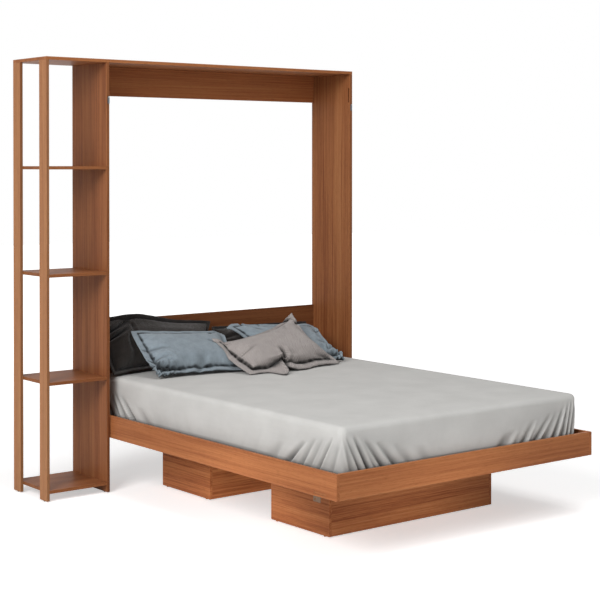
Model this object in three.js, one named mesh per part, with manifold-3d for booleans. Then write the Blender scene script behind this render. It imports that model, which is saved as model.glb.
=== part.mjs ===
// Fold-up wall bed: an open-backed cabinet with a shelf tower on its left, and a double bed that turns
// up into it on two side pivots. Two box feet under the bed become shelf niches when it is folded.
// Millimetres, +Z up. The modelling frame has x = 0 on the outer face of the niche's left side panel,
// y = 0 on the cabinet's front plane with +Y towards the wall, and z = 0 on the floor. The exported
// group shifts all of it, so that the part's origin is the bottom centre of its bounding box.
import * as THREE from "three";
import { ConvexGeometry } from "three/addons/geometries/ConvexGeometry.js";
import { mergeVertices } from "three/addons/utils/BufferGeometryUtils.js";
import Module from "manifold-3d";

const wasm = await Module();
wasm.setup();

// Boards
const BOARD = 15;
const BOARD_CHAMFER = 0.8;

// Mattress in its fitted sheet: the bed frame, the niche and the cabinet's height are sized round it
const MATTRESS_WIDTH = 1380;
const MATTRESS_LENGTH = 1880;
const MATTRESS_THICKNESS = 262;
const MATTRESS_CROWN = 6;
const MATTRESS_EDGE_RADIUS = 34;
const MATTRESS_SIDE_GAP = 40;
const MATTRESS_FOOT_GAP = 22;
const MATTRESS_HEAD_GAP = 20;
const SHEET_DRAW_IN = 5;

// Bed frame. The tail is the length that stays behind the cabinet's front.
const BED_TAIL = 260;
const BED_GAP = 5;
const RAIL_HEIGHT = 105;
const BED_UNDERSIDE = 262;
const BASE_JOINT = 1;
const BATTEN_WIDTH = 15;
const BATTEN_HEIGHT = 20;
const BATTEN_TO_CABINET = 60;

// Cabinet round the bed niche. The top gap is above the foot end of the folded bed.
const CABINET_DEPTH = 330;
const FOLDED_TOP_GAP = 11;
const BACK_RAIL_HEIGHT = 144;
const HEADBOARD_TOP = 787;
const HEADBOARD_HEIGHT = 357;

// Shelf tower. Its top bay is a little higher than the equal bays below.
const TOWER_WIDTH = 322;
const POST_WIDTH = 70;
const BASE_SHELF_TOP = 53;
const TOP_BAY_HEIGHT = 494.5;
const SHELF_COUNT = 3;

// Glides nailed under the upright boards and under the box feet
const GLIDE_HEIGHT = 4;
const GLIDE_DIAMETER = 12;
const GLIDE_INSET = 35;

// Box feet. A reach is from the cabinet's front to the box's front board.
const BOX_WIDTH = 966;
const BOX_DEPTH = 404;
const BOX_SHIFT = 15;
const FRONT_BOX_REACH = 1308;
const REAR_BOX_REACH = 430;

// Steel angles under the side rails, near the foot: a leg screwed to the rail, and one that hangs
// down with a finger hole
const GRIP_LENGTH = 45;
const GRIP_DROP = 22;
const GRIP_SHEET = 2;
const GRIP_SETBACK = 100;
const GRIP_HOLE_DIAMETER = 9;
const GRIP_HOLE_SETBACK = 33;

// Pivot between bed and cabinet
const PIVOT_ABOVE_UNDERSIDE = 45;
const PIVOT_BOLT_DIAMETER = 10;
const PIVOT_HEAD_DIAMETER = 22;
const PIVOT_HEAD_HEIGHT = 6.5;
const PIVOT_WASHER_DIAMETER = 24;
const PIVOT_HOLE_WALL = 3;
const RUNNING_CLEARANCE = 0.3;
const HINGE_PLATE = 4;
const HINGE_PLATE_MARGIN = 28;
const HINGE_BOSS_HEIGHT = 3;
const PLATE_CLEARANCE = 1;

// Gas struts in the gap between mattress and side rail. Depths are behind the cabinet's front, and
// the arm is from the pivot to the strut's lower pin. Lengths along the strut start at its upper eye.
const STRUT_FROM_RAIL = 22;
const STRUT_TOP_DEPTH = 183;
const STRUT_TOP_HEIGHT = 498;
const STRUT_ARM_BACK = 99;
const STRUT_ARM_DOWN = 15;
const STRUT_TUBE_DIAMETER = 20;
const STRUT_NECK_DIAMETER = 10;
const STRUT_ROD_DIAMETER = 8;
const STRUT_EYE_DIAMETER = 18;
const STRUT_EYE_WIDTH = 14;
const STRUT_STUD_DIAMETER = 8;
const STRUT_COLLAR_DIAMETER = 14;
const STRUT_CAP_HEIGHT = 3;
const STRUT_TUBE_START = 14;
const STRUT_BORE_START = 20;
const STRUT_ROD_START = 23;
const STRUT_BARE_ROD = 30;
const OPEN_PIN_GAP = 0.4;
const ANCHOR_PLATE = 3;
const ANCHOR_WIDTH = 32;
const ANCHOR_HEIGHT = 58;

// Sliding lock tongues in the side rails, each with a thumb tab over a notch in the base board
const LOCK_LENGTH = 76;
const LOCK_THICKNESS = 8;
const LOCK_WIDTH = 38;
const LOCK_ABOVE_UNDERSIDE = 10;
const LOCK_SETBACK = 64;
const LOCK_TRAVEL = 13;
const LOCK_END_PLAY = 2;
const LOCK_CLEARANCE = 0.6;
const LOCK_CHAMFER = 0.4;
const LOCK_TAB_LENGTH = 32;
const LOCK_TAB_WIDTH = 7.5;
const LOCK_TAB_INSET = 0.5;
const LOCK_TAB_RAISED = 2;
const FINGER_NOTCH_DEPTH = 40;
const FINGER_NOTCH_MARGIN = 10;

// Turning latches on the front edges of the side panels
const LATCH_BELOW_TOP = 181;
const LATCH_INSET = 6;
const LATCH_LENGTH = 30;
const LATCH_WIDTH = 10;
const LATCH_SHEET = 3;
const LATCH_STANDOFF = 1;
const LATCH_PIN_DIAMETER = 4.4;
const LATCH_PIN_DEPTH = 12;
const LATCH_HEAD_DIAMETER = 7.6;
const LATCH_HEAD_HEIGHT = 1.2;
const LATCH_SPACER_DIAMETER = 8.8;

// Pillows: sizes over the flange, with the centre's place from the mattress's middle line and from
// its head end. lean is from upright towards the wall, turn about the vertical and roll in the
// pillow's own plane, all in degrees.
const PILLOW_RIM = 3;
const PILLOW_FLANGE = 0.12;
const PILLOW_DRAW_IN = { sides: 0.045, ends: 0.06 };
const PILLOW_SWELL = 2.4;
const PILLOW_GAP = 0.3;
const CHARCOAL_WIDTH = 670;
const CHARCOAL_HEIGHT = 300;
const CHARCOAL_STANDING_THICKNESS = 140;
const CHARCOAL_LEANING_THICKNESS = 100;
const BLUE_WIDTH = 540;
const BLUE_LEFT_HEIGHT = 390;
const BLUE_LEFT_THICKNESS = 110;
const BLUE_RIGHT_HEIGHT = 380;
const BLUE_RIGHT_THICKNESS = 100;
const GREY_WIDTH = 540;
const GREY_HEIGHT = 390;
const GREY_THICKNESS = 100;
const PILLOWS = [
  { name: "charcoal_pillow_left", finish: "charcoal",
    width: CHARCOAL_WIDTH, height: CHARCOAL_HEIGHT, thickness: CHARCOAL_STANDING_THICKNESS,
    across: -333, fromHead: 15, lean: 25, turn: 0, roll: 0 },
  { name: "charcoal_pillow_right", finish: "charcoal",
    width: CHARCOAL_WIDTH, height: CHARCOAL_HEIGHT, thickness: CHARCOAL_LEANING_THICKNESS,
    across: 340, fromHead: 75, lean: 54, turn: 0, roll: 0 },
  { name: "blue_pillow_left", finish: "blueGrey",
    width: BLUE_WIDTH, height: BLUE_LEFT_HEIGHT, thickness: BLUE_LEFT_THICKNESS,
    across: -262, fromHead: 220, lean: 58, turn: 0, roll: 0 },
  { name: "blue_pillow_right", finish: "blueGrey",
    width: BLUE_WIDTH, height: BLUE_RIGHT_HEIGHT, thickness: BLUE_RIGHT_THICKNESS,
    across: 318, fromHead: 250, lean: 64, turn: -8, roll: 4 },
  { name: "grey_pillow", finish: "warmGrey",
    width: GREY_WIDTH, height: GREY_HEIGHT, thickness: GREY_THICKNESS,
    across: 131, fromHead: 385, lean: 62, turn: -6, roll: -6 },
];

// Mesh fineness: sides of a round part, cells over the mattress, and cells over a pillow
const SEGMENTS = 24;
const MATTRESS_CELLS = { across: 8, along: 12, up: 2 };
const PILLOW_COLUMNS = 14;
const PILLOW_ROWS = 10;

// Cutting shapes run past the faces that they cut by this much
const OVERRUN = 1;
const RIGHT_ANGLE = Math.PI / 2;

// Places that follow from the sizes above. The bed turns about a line as far behind its folded
// underside as above its lowered one, so that the folded bed is flush with the cabinet's front.
const BED_LENGTH = MATTRESS_LENGTH + MATTRESS_FOOT_GAP + MATTRESS_HEAD_GAP + 2 * BOARD;
const BED_REACH = BED_LENGTH - BED_TAIL;
const RAIL_OUTER = BED_GAP;
const RAIL_INNER = BED_GAP + BOARD;
const NICHE_WIDTH = MATTRESS_WIDTH + 2 * (MATTRESS_SIDE_GAP + RAIL_INNER);
const PIVOT_Y = PIVOT_ABOVE_UNDERSIDE;
const PIVOT_Z = BED_UNDERSIDE + PIVOT_ABOVE_UNDERSIDE;
const TOP_UNDERSIDE = PIVOT_Z + PIVOT_Y + BED_REACH + FOLDED_TOP_GAP;
const CABINET_HEIGHT = TOP_UNDERSIDE + BOARD;
const NICHE_RIGHT = BOARD + NICHE_WIDTH;
const CABINET_RIGHT = NICHE_RIGHT + BOARD;
const SHELF_PITCH = (TOP_UNDERSIDE - TOP_BAY_HEIGHT - BASE_SHELF_TOP) / SHELF_COUNT;
const BED_MIDDLE = BOARD + NICHE_WIDTH / 2;
const RAIL_TOP = BED_UNDERSIDE + RAIL_HEIGHT;
const FOOT_INNER = -BED_REACH + BOARD;
const HEAD_INNER = BED_TAIL - BOARD;
const BASE_TOP = BED_UNDERSIDE + BOARD;
const MATTRESS_FOOT = FOOT_INNER + MATTRESS_FOOT_GAP;
const MATTRESS_HEAD = MATTRESS_FOOT + MATTRESS_LENGTH;
const MATTRESS_BOTTOM = BASE_TOP + RUNNING_CLEARANCE;
const STRUT_PLANE = RAIL_INNER + STRUT_FROM_RAIL;
const LOCK_FOOT = -BED_REACH + LOCK_SETBACK;
const LOCK_HEAD = LOCK_FOOT + LOCK_LENGTH;
const LOCK_BOTTOM = BED_UNDERSIDE + LOCK_ABOVE_UNDERSIDE;
const LATCH_HEIGHT = CABINET_HEIGHT - LATCH_BELOW_TOP;

// Finishes
const finishes = {
  laminate: { color: "#9b6240", roughness: 0.55, metalness: 0 },
  steel: { color: "#b9bab8", roughness: 0.35, metalness: 1 },
  darkSteel: { color: "#2b2b2d", roughness: 0.4, metalness: 0.6 },
  plastic: { color: "#2a2624", roughness: 0.6, metalness: 0 },
  sheet: { color: "#c4c2be", roughness: 0.9, metalness: 0 },
  charcoal: { color: "#3a3836", roughness: 0.95, metalness: 0 },
  blueGrey: { color: "#8a96a0", roughness: 0.9, metalness: 0 },
  warmGrey: { color: "#9a938e", roughness: 0.95, metalness: 0 },
};

function materialOf(finish) {
  return new THREE.MeshStandardMaterial(finishes[finish]);
}

// Solids for joining and cutting
function solidOf(geometry) {
  const bare = geometry.clone();
  bare.deleteAttribute("normal");
  bare.deleteAttribute("uv");
  const merged = mergeVertices(bare, 1e-4);
  return new wasm.Manifold(
    new wasm.Mesh({
      numProp: 3,
      vertProperties: new Float32Array(merged.attributes.position.array),
      triVerts: new Uint32Array(merged.index.array),
    }),
  );
}

function geometryOf(solid) {
  const mesh = solid.getMesh();
  const geometry = new THREE.BufferGeometry();
  geometry.setAttribute("position", new THREE.BufferAttribute(mesh.vertProperties, 3));
  geometry.setIndex(new THREE.BufferAttribute(mesh.triVerts, 1));
  geometry.computeVertexNormals();
  return geometry;
}

function join(first, ...others) {
  return geometryOf(others.reduce((sum, next) => sum.add(solidOf(next)), solidOf(first)));
}

function cut(body, ...tools) {
  return geometryOf(tools.reduce((left, tool) => left.subtract(solidOf(tool)), solidOf(body)));
}

// Basic shapes, placed in the modelling frame
function block(x, y, z) {
  const geometry = new THREE.BoxGeometry(x[1] - x[0], y[1] - y[0], z[1] - z[0]);
  return geometry.translate((x[0] + x[1]) / 2, (y[0] + y[1]) / 2, (z[0] + z[1]) / 2);
}

function chamferedBlock(x, y, z, chamfer) {
  const points = [];
  const middle = [x, y, z].map((range) => (range[0] + range[1]) / 2);
  const half = [x, y, z].map((range) => (range[1] - range[0]) / 2);
  for (const sign of [[1, 1, 1], [1, 1, -1], [1, -1, 1], [1, -1, -1],
    [-1, 1, 1], [-1, 1, -1], [-1, -1, 1], [-1, -1, -1]]) {
    for (const outer of [0, 1, 2]) {
      const reach = half.map((size, axis) => (axis === outer ? size : size - chamfer));
      points.push(new THREE.Vector3(...middle.map((centre, axis) => centre + sign[axis] * reach[axis])));
    }
  }
  return new ConvexGeometry(points);
}

function rod(axis, from, to, radius, centre) {
  const geometry = new THREE.CylinderGeometry(radius, radius, Math.abs(to - from), SEGMENTS);
  if (axis === "x") geometry.rotateZ(RIGHT_ANGLE);
  if (axis === "z") geometry.rotateX(RIGHT_ANGLE);
  const middle = (from + to) / 2;
  if (axis === "x") return geometry.translate(middle, centre[0], centre[1]);
  if (axis === "y") return geometry.translate(centre[0], middle, centre[1]);
  return geometry.translate(centre[0], centre[1], middle);
}

const cabinet = new THREE.Group();
const bed = new THREE.Group();

function place(group, name, geometry, finish) {
  const mesh = new THREE.Mesh(geometry, materialOf(finish));
  mesh.name = name;
  group.add(mesh);
  return mesh;
}

function board(group, name, x, y, z, ...tools) {
  const blank = chamferedBlock(x, y, z, BOARD_CHAMFER);
  return place(group, name, tools.length ? cut(blank, ...tools) : blank, "laminate");
}

// A side is "left" or "right". Distances into the niche are measured from the inner face of that
// side's panel, so negative ones lie inside the panel.
function fromPanel(side, near, far) {
  if (side === "left") return [BOARD + near, BOARD + far];
  return [NICHE_RIGHT - far, NICHE_RIGHT - near];
}

function xAt(side, distance) {
  return side === "left" ? BOARD + distance : NICHE_RIGHT - distance;
}

// Where a point of the lowered bed comes to when the bed is folded
function foldedPlace(y, z) {
  return { y: PIVOT_Y + (z - PIVOT_Z), z: PIVOT_Z - (y - PIVOT_Y) };
}

const sides = ["left", "right"];
const pivotCentre = [PIVOT_Y, PIVOT_Z];
const pivotHoleRadius = PIVOT_BOLT_DIAMETER / 2 + RUNNING_CLEARANCE;
const pivotHoleDepth = BOARD - PIVOT_HOLE_WALL;

// Side panels, with a blind pivot hole, a slot that takes the lock tongue of the folded bed, and a
// blind hole for the latch in the front edge
for (const side of sides) {
  const slotLow = foldedPlace(LOCK_HEAD, LOCK_BOTTOM);
  const slotHigh = foldedPlace(LOCK_FOOT, LOCK_BOTTOM + LOCK_THICKNESS);
  const slotDepth = LOCK_TRAVEL - BED_GAP + LOCK_END_PLAY;
  const slot = block(
    fromPanel(side, -slotDepth, OVERRUN),
    [slotLow.y - LOCK_CLEARANCE, slotHigh.y + LOCK_CLEARANCE],
    [slotLow.z - LOCK_CLEARANCE, slotHigh.z + LOCK_CLEARANCE],
  );
  const pivotHole = rod(
    "x", xAt(side, -pivotHoleDepth - RUNNING_CLEARANCE), xAt(side, OVERRUN), pivotHoleRadius,
    pivotCentre);
  const latchHole = rod(
    "y", -OVERRUN, LATCH_PIN_DEPTH + RUNNING_CLEARANCE, LATCH_PIN_DIAMETER / 2 + RUNNING_CLEARANCE,
    [xAt(side, -LATCH_INSET), LATCH_HEIGHT]);
  board(
    cabinet, `${side}_side_panel`, fromPanel(side, -BOARD, 0), [0, CABINET_DEPTH],
    [GLIDE_HEIGHT, TOP_UNDERSIDE], slot, pivotHole, latchHole);
}

// Top board over niche and tower, and the two boards that tie the side panels at the back
board(
  cabinet, "top_panel", [-TOWER_WIDTH, CABINET_RIGHT], [0, CABINET_DEPTH],
  [TOP_UNDERSIDE, CABINET_HEIGHT]);
const backRange = [CABINET_DEPTH - BOARD, CABINET_DEPTH];
board(
  cabinet, "upper_back_rail", [BOARD, NICHE_RIGHT], backRange,
  [TOP_UNDERSIDE - BACK_RAIL_HEIGHT, TOP_UNDERSIDE]);
board(
  cabinet, "headboard_panel", [BOARD, NICHE_RIGHT], backRange,
  [HEADBOARD_TOP - HEADBOARD_HEIGHT, HEADBOARD_TOP]);

// Tower: two posts at its outer corners, and shelves between them and the left side panel
const postX = [-TOWER_WIDTH, -TOWER_WIDTH + BOARD];
const postHeight = [GLIDE_HEIGHT, TOP_UNDERSIDE];
board(cabinet, "tower_front_post", postX, [0, POST_WIDTH], postHeight);
board(cabinet, "tower_rear_post", postX, [CABINET_DEPTH - POST_WIDTH, CABINET_DEPTH], postHeight);
for (let level = 0; level <= SHELF_COUNT; level += 1) {
  const top = BASE_SHELF_TOP + level * SHELF_PITCH;
  const name = level === 0 ? "tower_base_shelf" : `tower_shelf_${level}`;
  board(cabinet, name, [postX[1], 0], [0, CABINET_DEPTH], [top - BOARD, top]);
}

// Glides under the uprights
function glide(x, y) {
  return rod("z", 0, GLIDE_HEIGHT, GLIDE_DIAMETER / 2, [x, y]);
}

const glideRows = { front: GLIDE_INSET, rear: CABINET_DEPTH - GLIDE_INSET };
for (const [row, y] of Object.entries(glideRows)) {
  place(cabinet, `tower_${row}_glide`, glide(-TOWER_WIDTH + BOARD / 2, y), "plastic");
  for (const side of sides) {
    place(cabinet, `${side}_${row}_glide`, glide(xAt(side, -BOARD / 2), y), "plastic");
  }
}

// Bed frame: side rails run its whole length, with foot and head rails between them
for (const side of sides) {
  const pivotHole = rod(
    "x", xAt(side, RAIL_OUTER - OVERRUN), xAt(side, RAIL_INNER + OVERRUN), pivotHoleRadius,
    pivotCentre);
  const tongueSlot = block(
    fromPanel(side, RAIL_OUTER - OVERRUN, RAIL_INNER + OVERRUN),
    [LOCK_FOOT - LOCK_CLEARANCE, LOCK_HEAD + LOCK_CLEARANCE],
    [LOCK_BOTTOM - LOCK_CLEARANCE, LOCK_BOTTOM + LOCK_THICKNESS + LOCK_CLEARANCE],
  );
  board(
    bed, `bed_${side}_rail`, fromPanel(side, RAIL_OUTER, RAIL_INNER), [-BED_REACH, BED_TAIL],
    [BED_UNDERSIDE, RAIL_TOP], pivotHole, tongueSlot);
}
const innerWidth = [xAt("left", RAIL_INNER), xAt("right", RAIL_INNER)];
board(bed, "bed_foot_rail", innerWidth, [-BED_REACH, FOOT_INNER], [BED_UNDERSIDE, RAIL_TOP]);
board(bed, "bed_head_rail", innerWidth, [HEAD_INNER, BED_TAIL], [BED_UNDERSIDE, RAIL_TOP]);

// Two base boards lie between the rails, flush with their lower edges: they carry the mattress, and
// are the front of the folded bed. A notch in each outer edge gives a finger room at the lock tongue.
const notchLength = [LOCK_FOOT - FINGER_NOTCH_MARGIN, LOCK_HEAD + FINGER_NOTCH_MARGIN];
for (const side of sides) {
  const notch = block(
    fromPanel(side, RAIL_INNER - OVERRUN, RAIL_INNER + FINGER_NOTCH_DEPTH), notchLength,
    [BED_UNDERSIDE - OVERRUN, BASE_TOP + OVERRUN]);
  board(
    bed, `${side}_base_board`, fromPanel(side, RAIL_INNER, (NICHE_WIDTH - BASE_JOINT) / 2),
    [FOOT_INNER, HEAD_INNER], [BED_UNDERSIDE, BASE_TOP], notch);
}

// Battens screwed into the corner between rails and base boards
const battenHeight = [BASE_TOP, BASE_TOP + BATTEN_HEIGHT];
for (const side of sides) {
  board(
    bed, `${side}_batten`, fromPanel(side, RAIL_INNER, RAIL_INNER + BATTEN_WIDTH),
    [notchLength[1], -BATTEN_TO_CABINET], battenHeight);
}
const battenAcross = [
  xAt("left", RAIL_INNER + FINGER_NOTCH_DEPTH),
  xAt("right", RAIL_INNER + FINGER_NOTCH_DEPTH),
];
board(bed, "foot_batten", battenAcross, [FOOT_INNER, FOOT_INNER + BATTEN_WIDTH], battenHeight);
board(bed, "head_batten", battenAcross, [HEAD_INNER - BATTEN_WIDTH, HEAD_INNER], battenHeight);

// Box feet: four boards each, the side boards full depth on their own glides, open below
const boxLeft = BED_MIDDLE + BOX_SHIFT - BOX_WIDTH / 2;
const boxRight = boxLeft + BOX_WIDTH;
const boxHeight = [GLIDE_HEIGHT, BED_UNDERSIDE];

function boxSide(name, x, front) {
  const middle = (x[0] + x[1]) / 2;
  const body = chamferedBlock(x, [front, front + BOX_DEPTH], boxHeight, BOARD_CHAMFER);
  const radius = GLIDE_DIAMETER / 2;
  const glides = [GLIDE_INSET, BOX_DEPTH - GLIDE_INSET].map((inset) =>
    rod("z", 0, GLIDE_HEIGHT + OVERRUN, radius, [middle, front + inset]));
  place(bed, name, join(body, ...glides), "laminate");
}

const boxFronts = { front: -FRONT_BOX_REACH, rear: -REAR_BOX_REACH };
for (const [box, front] of Object.entries(boxFronts)) {
  boxSide(`${box}_box_left_board`, [boxLeft, boxLeft + BOARD], front);
  boxSide(`${box}_box_right_board`, [boxRight - BOARD, boxRight], front);
  const between = [boxLeft + BOARD, boxRight - BOARD];
  board(bed, `${box}_box_front_board`, between, [front, front + BOARD], boxHeight);
  board(
    bed, `${box}_box_rear_board`, between, [front + BOX_DEPTH - BOARD, front + BOX_DEPTH], boxHeight);
}

for (const side of sides) {
  const gripFoot = -BED_REACH + GRIP_SETBACK;
  const y = [gripFoot, gripFoot + GRIP_LENGTH];
  const gripBottom = BED_UNDERSIDE - GRIP_DROP;
  const hanging = block(
    fromPanel(side, RAIL_OUTER, RAIL_OUTER + GRIP_SHEET), y, [gripBottom, BED_UNDERSIDE]);
  const flat = block(
    fromPanel(side, RAIL_OUTER, RAIL_INNER), y, [BED_UNDERSIDE - GRIP_SHEET, BED_UNDERSIDE]);
  const hole = rod(
    "x", xAt(side, RAIL_OUTER - OVERRUN), xAt(side, RAIL_OUTER + GRIP_SHEET + OVERRUN),
    GRIP_HOLE_DIAMETER / 2,
    [gripFoot + GRIP_HOLE_SETBACK, BED_UNDERSIDE - (GRIP_DROP + GRIP_SHEET) / 2]);
  place(bed, `${side}_grip_angle`, cut(join(hanging, flat), hole), "steel");
}

// Pivots: a shoulder bolt in the side panel, with a washer in the gap, and a steel plate on the rail
for (const side of sides) {
  const headStart = RAIL_INNER + HINGE_PLATE + RUNNING_CLEARANCE;
  const shank = rod(
    "x", xAt(side, -pivotHoleDepth), xAt(side, headStart + PIVOT_HEAD_HEIGHT / 2),
    PIVOT_BOLT_DIAMETER / 2, pivotCentre);
  const washer = rod(
    "x", xAt(side, RUNNING_CLEARANCE), xAt(side, BED_GAP - RUNNING_CLEARANCE),
    PIVOT_WASHER_DIAMETER / 2, pivotCentre);
  const head = rod(
    "x", xAt(side, headStart), xAt(side, headStart + PIVOT_HEAD_HEIGHT),
    PIVOT_HEAD_DIAMETER / 2, pivotCentre);
  place(cabinet, `${side}_pivot_bolt`, join(shank, washer, head), "steel");
}

// Gas struts. The upper end turns on a stud of the cabinet; the lower end's pin faces the boss of the
// hinge plate across a small gap, because its real path and the strut's are not quite the same.
const strutTop = { y: STRUT_TOP_DEPTH, z: STRUT_TOP_HEIGHT };
const strutFoot = { y: PIVOT_Y + STRUT_ARM_BACK, z: PIVOT_Z - STRUT_ARM_DOWN };
const strutLength = Math.hypot(strutFoot.y - strutTop.y, strutFoot.z - strutTop.z);
const strutTilt = Math.atan2(-(strutFoot.y - strutTop.y), strutFoot.z - strutTop.z);
const tubeEnd = strutLength - STRUT_BARE_ROD;
const eyeNear = STRUT_PLANE - STRUT_EYE_WIDTH / 2;
const eyeFar = STRUT_PLANE + STRUT_EYE_WIDTH / 2;

function strutGroup(side) {
  const group = new THREE.Group();
  group.position.set(xAt(side, STRUT_PLANE), strutTop.y, strutTop.z);
  group.rotation.x = strutTilt;
  cabinet.add(group);
  return group;
}

function strutCylinder(side, group) {
  const half = STRUT_EYE_WIDTH / 2;
  const axis = [0, 0];
  const eye = rod("x", -half, half, STRUT_EYE_DIAMETER / 2, axis);
  const neck = rod("z", 0, STRUT_BORE_START, STRUT_NECK_DIAMETER / 2, axis);
  const tube = rod("z", STRUT_TUBE_START, tubeEnd, STRUT_TUBE_DIAMETER / 2, axis);
  const hole = rod(
    "x", -half - OVERRUN, half + OVERRUN, STRUT_STUD_DIAMETER / 2 + RUNNING_CLEARANCE, axis);
  const bore = rod(
    "z", STRUT_BORE_START, tubeEnd + OVERRUN, STRUT_ROD_DIAMETER / 2 + RUNNING_CLEARANCE, axis);
  place(group, `${side}_strut_cylinder`, cut(join(eye, neck, tube), hole, bore), "darkSteel");
}

function strutRod(side, group) {
  const half = STRUT_EYE_WIDTH / 2;
  const outward = side === "left" ? -1 : 1;
  const shaft = rod("z", STRUT_ROD_START, strutLength, STRUT_ROD_DIAMETER / 2, [0, 0]);
  const eye = rod("x", -half, half, STRUT_EYE_DIAMETER / 2, [0, strutLength]);
  const pinLength = STRUT_FROM_RAIL - HINGE_PLATE - HINGE_BOSS_HEIGHT - OPEN_PIN_GAP;
  const pin = rod("x", 0, outward * pinLength, STRUT_STUD_DIAMETER / 2, [0, strutLength]);
  place(group, `${side}_strut_rod`, join(shaft, eye, pin), "steel");
}

function strutAnchor(side) {
  const centre = [strutTop.y, strutTop.z];
  const plate = chamferedBlock(
    fromPanel(side, 0, ANCHOR_PLATE),
    [strutTop.y - ANCHOR_WIDTH / 2, strutTop.y + ANCHOR_WIDTH / 2],
    [strutTop.z - ANCHOR_HEIGHT / 2, strutTop.z + ANCHOR_HEIGHT / 2], BOARD_CHAMFER);
  const collar = rod(
    "x", xAt(side, ANCHOR_PLATE / 2), xAt(side, eyeNear - RUNNING_CLEARANCE),
    STRUT_COLLAR_DIAMETER / 2, centre);
  const capStart = eyeFar + RUNNING_CLEARANCE;
  const capEnd = capStart + STRUT_CAP_HEIGHT;
  const stud = rod(
    "x", xAt(side, ANCHOR_PLATE), xAt(side, capEnd), STRUT_STUD_DIAMETER / 2, centre);
  const cap = rod("x", xAt(side, capStart), xAt(side, capEnd), STRUT_COLLAR_DIAMETER / 2, centre);
  place(cabinet, `${side}_strut_anchor`, join(plate, collar, stud, cap), "steel");
}

function hingePlate(side) {
  const low = Math.max(BASE_TOP + PLATE_CLEARANCE, PIVOT_Z - HINGE_PLATE_MARGIN);
  const plate = chamferedBlock(
    fromPanel(side, RAIL_INNER, RAIL_INNER + HINGE_PLATE),
    [PIVOT_Y - HINGE_PLATE_MARGIN, strutFoot.y + HINGE_PLATE_MARGIN],
    [low, PIVOT_Z + HINGE_PLATE_MARGIN], BOARD_CHAMFER);
  const bossStart = RAIL_INNER + HINGE_PLATE / 2;
  const bossEnd = RAIL_INNER + HINGE_PLATE + HINGE_BOSS_HEIGHT;
  const boss = rod(
    "x", xAt(side, bossStart), xAt(side, bossEnd), STRUT_COLLAR_DIAMETER / 2,
    [strutFoot.y, strutFoot.z]);
  const hole = rod(
    "x", xAt(side, RAIL_INNER - OVERRUN), xAt(side, RAIL_INNER + HINGE_PLATE + OVERRUN),
    pivotHoleRadius, pivotCentre);
  place(bed, `${side}_hinge_plate`, cut(join(plate, boss), hole), "steel");
}

for (const side of sides) {
  const group = strutGroup(side);
  strutCylinder(side, group);
  strutRod(side, group);
  strutAnchor(side);
  hingePlate(side);
}

// Lock tongues, retracted flush with the rails' outer faces, each with a thumb tab below
for (const side of sides) {
  const near = RAIL_OUTER + RUNNING_CLEARANCE;
  const tongue = chamferedBlock(
    fromPanel(side, near, near + LOCK_WIDTH), [LOCK_FOOT, LOCK_HEAD],
    [LOCK_BOTTOM, LOCK_BOTTOM + LOCK_THICKNESS], LOCK_CHAMFER);
  const middle = (LOCK_FOOT + LOCK_HEAD) / 2;
  const tabEnd = near + LOCK_WIDTH - LOCK_TAB_INSET;
  const tab = block(
    fromPanel(side, tabEnd - LOCK_TAB_WIDTH, tabEnd),
    [middle - LOCK_TAB_LENGTH / 2, middle + LOCK_TAB_LENGTH / 2],
    [BED_UNDERSIDE + LOCK_TAB_RAISED, LOCK_BOTTOM + OVERRUN]);
  place(bed, `${side}_lock_tongue`, join(tongue, tab), "laminate");
}

// Turning latches, hanging from their pins on the front edges of the side panels
for (const side of sides) {
  const x = xAt(side, -LATCH_INSET);
  const back = -LATCH_STANDOFF;
  const front = back - LATCH_SHEET;
  const inside = back - LATCH_SHEET / 2;
  const half = LATCH_WIDTH / 2;
  const centre = [x, LATCH_HEIGHT];
  const bar = block([x - half, x + half], [front, back], [LATCH_HEIGHT - LATCH_LENGTH, LATCH_HEIGHT]);
  const round = rod("y", front, back, half, centre);
  const spacer = rod("y", inside, -RUNNING_CLEARANCE, LATCH_SPACER_DIAMETER / 2, centre);
  const pin = rod("y", inside, LATCH_PIN_DEPTH, LATCH_PIN_DIAMETER / 2, centre);
  const head = rod("y", front - LATCH_HEAD_HEIGHT, inside, LATCH_HEAD_DIAMETER / 2, centre);
  place(cabinet, `${side}_latch`, join(bar, round, spacer, pin, head), "steel");
}

// Mattress in its fitted sheet: rounded edges, a slight crown, and sides that the sheet's elastic
// draws in towards the bottom. The grid's outer cells are narrow, so that they carry the rounded edge.
function gridStops(length, cells) {
  const half = length / 2;
  const flat = half - MATTRESS_EDGE_RADIUS;
  const bend = flat + MATTRESS_EDGE_RADIUS * Math.tan(RIGHT_ANGLE / 4);
  const inner = Array.from({ length: cells + 1 }, (_, i) => -flat + (2 * flat * i) / cells);
  return [-half, -bend, ...inner, bend, half];
}

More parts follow.
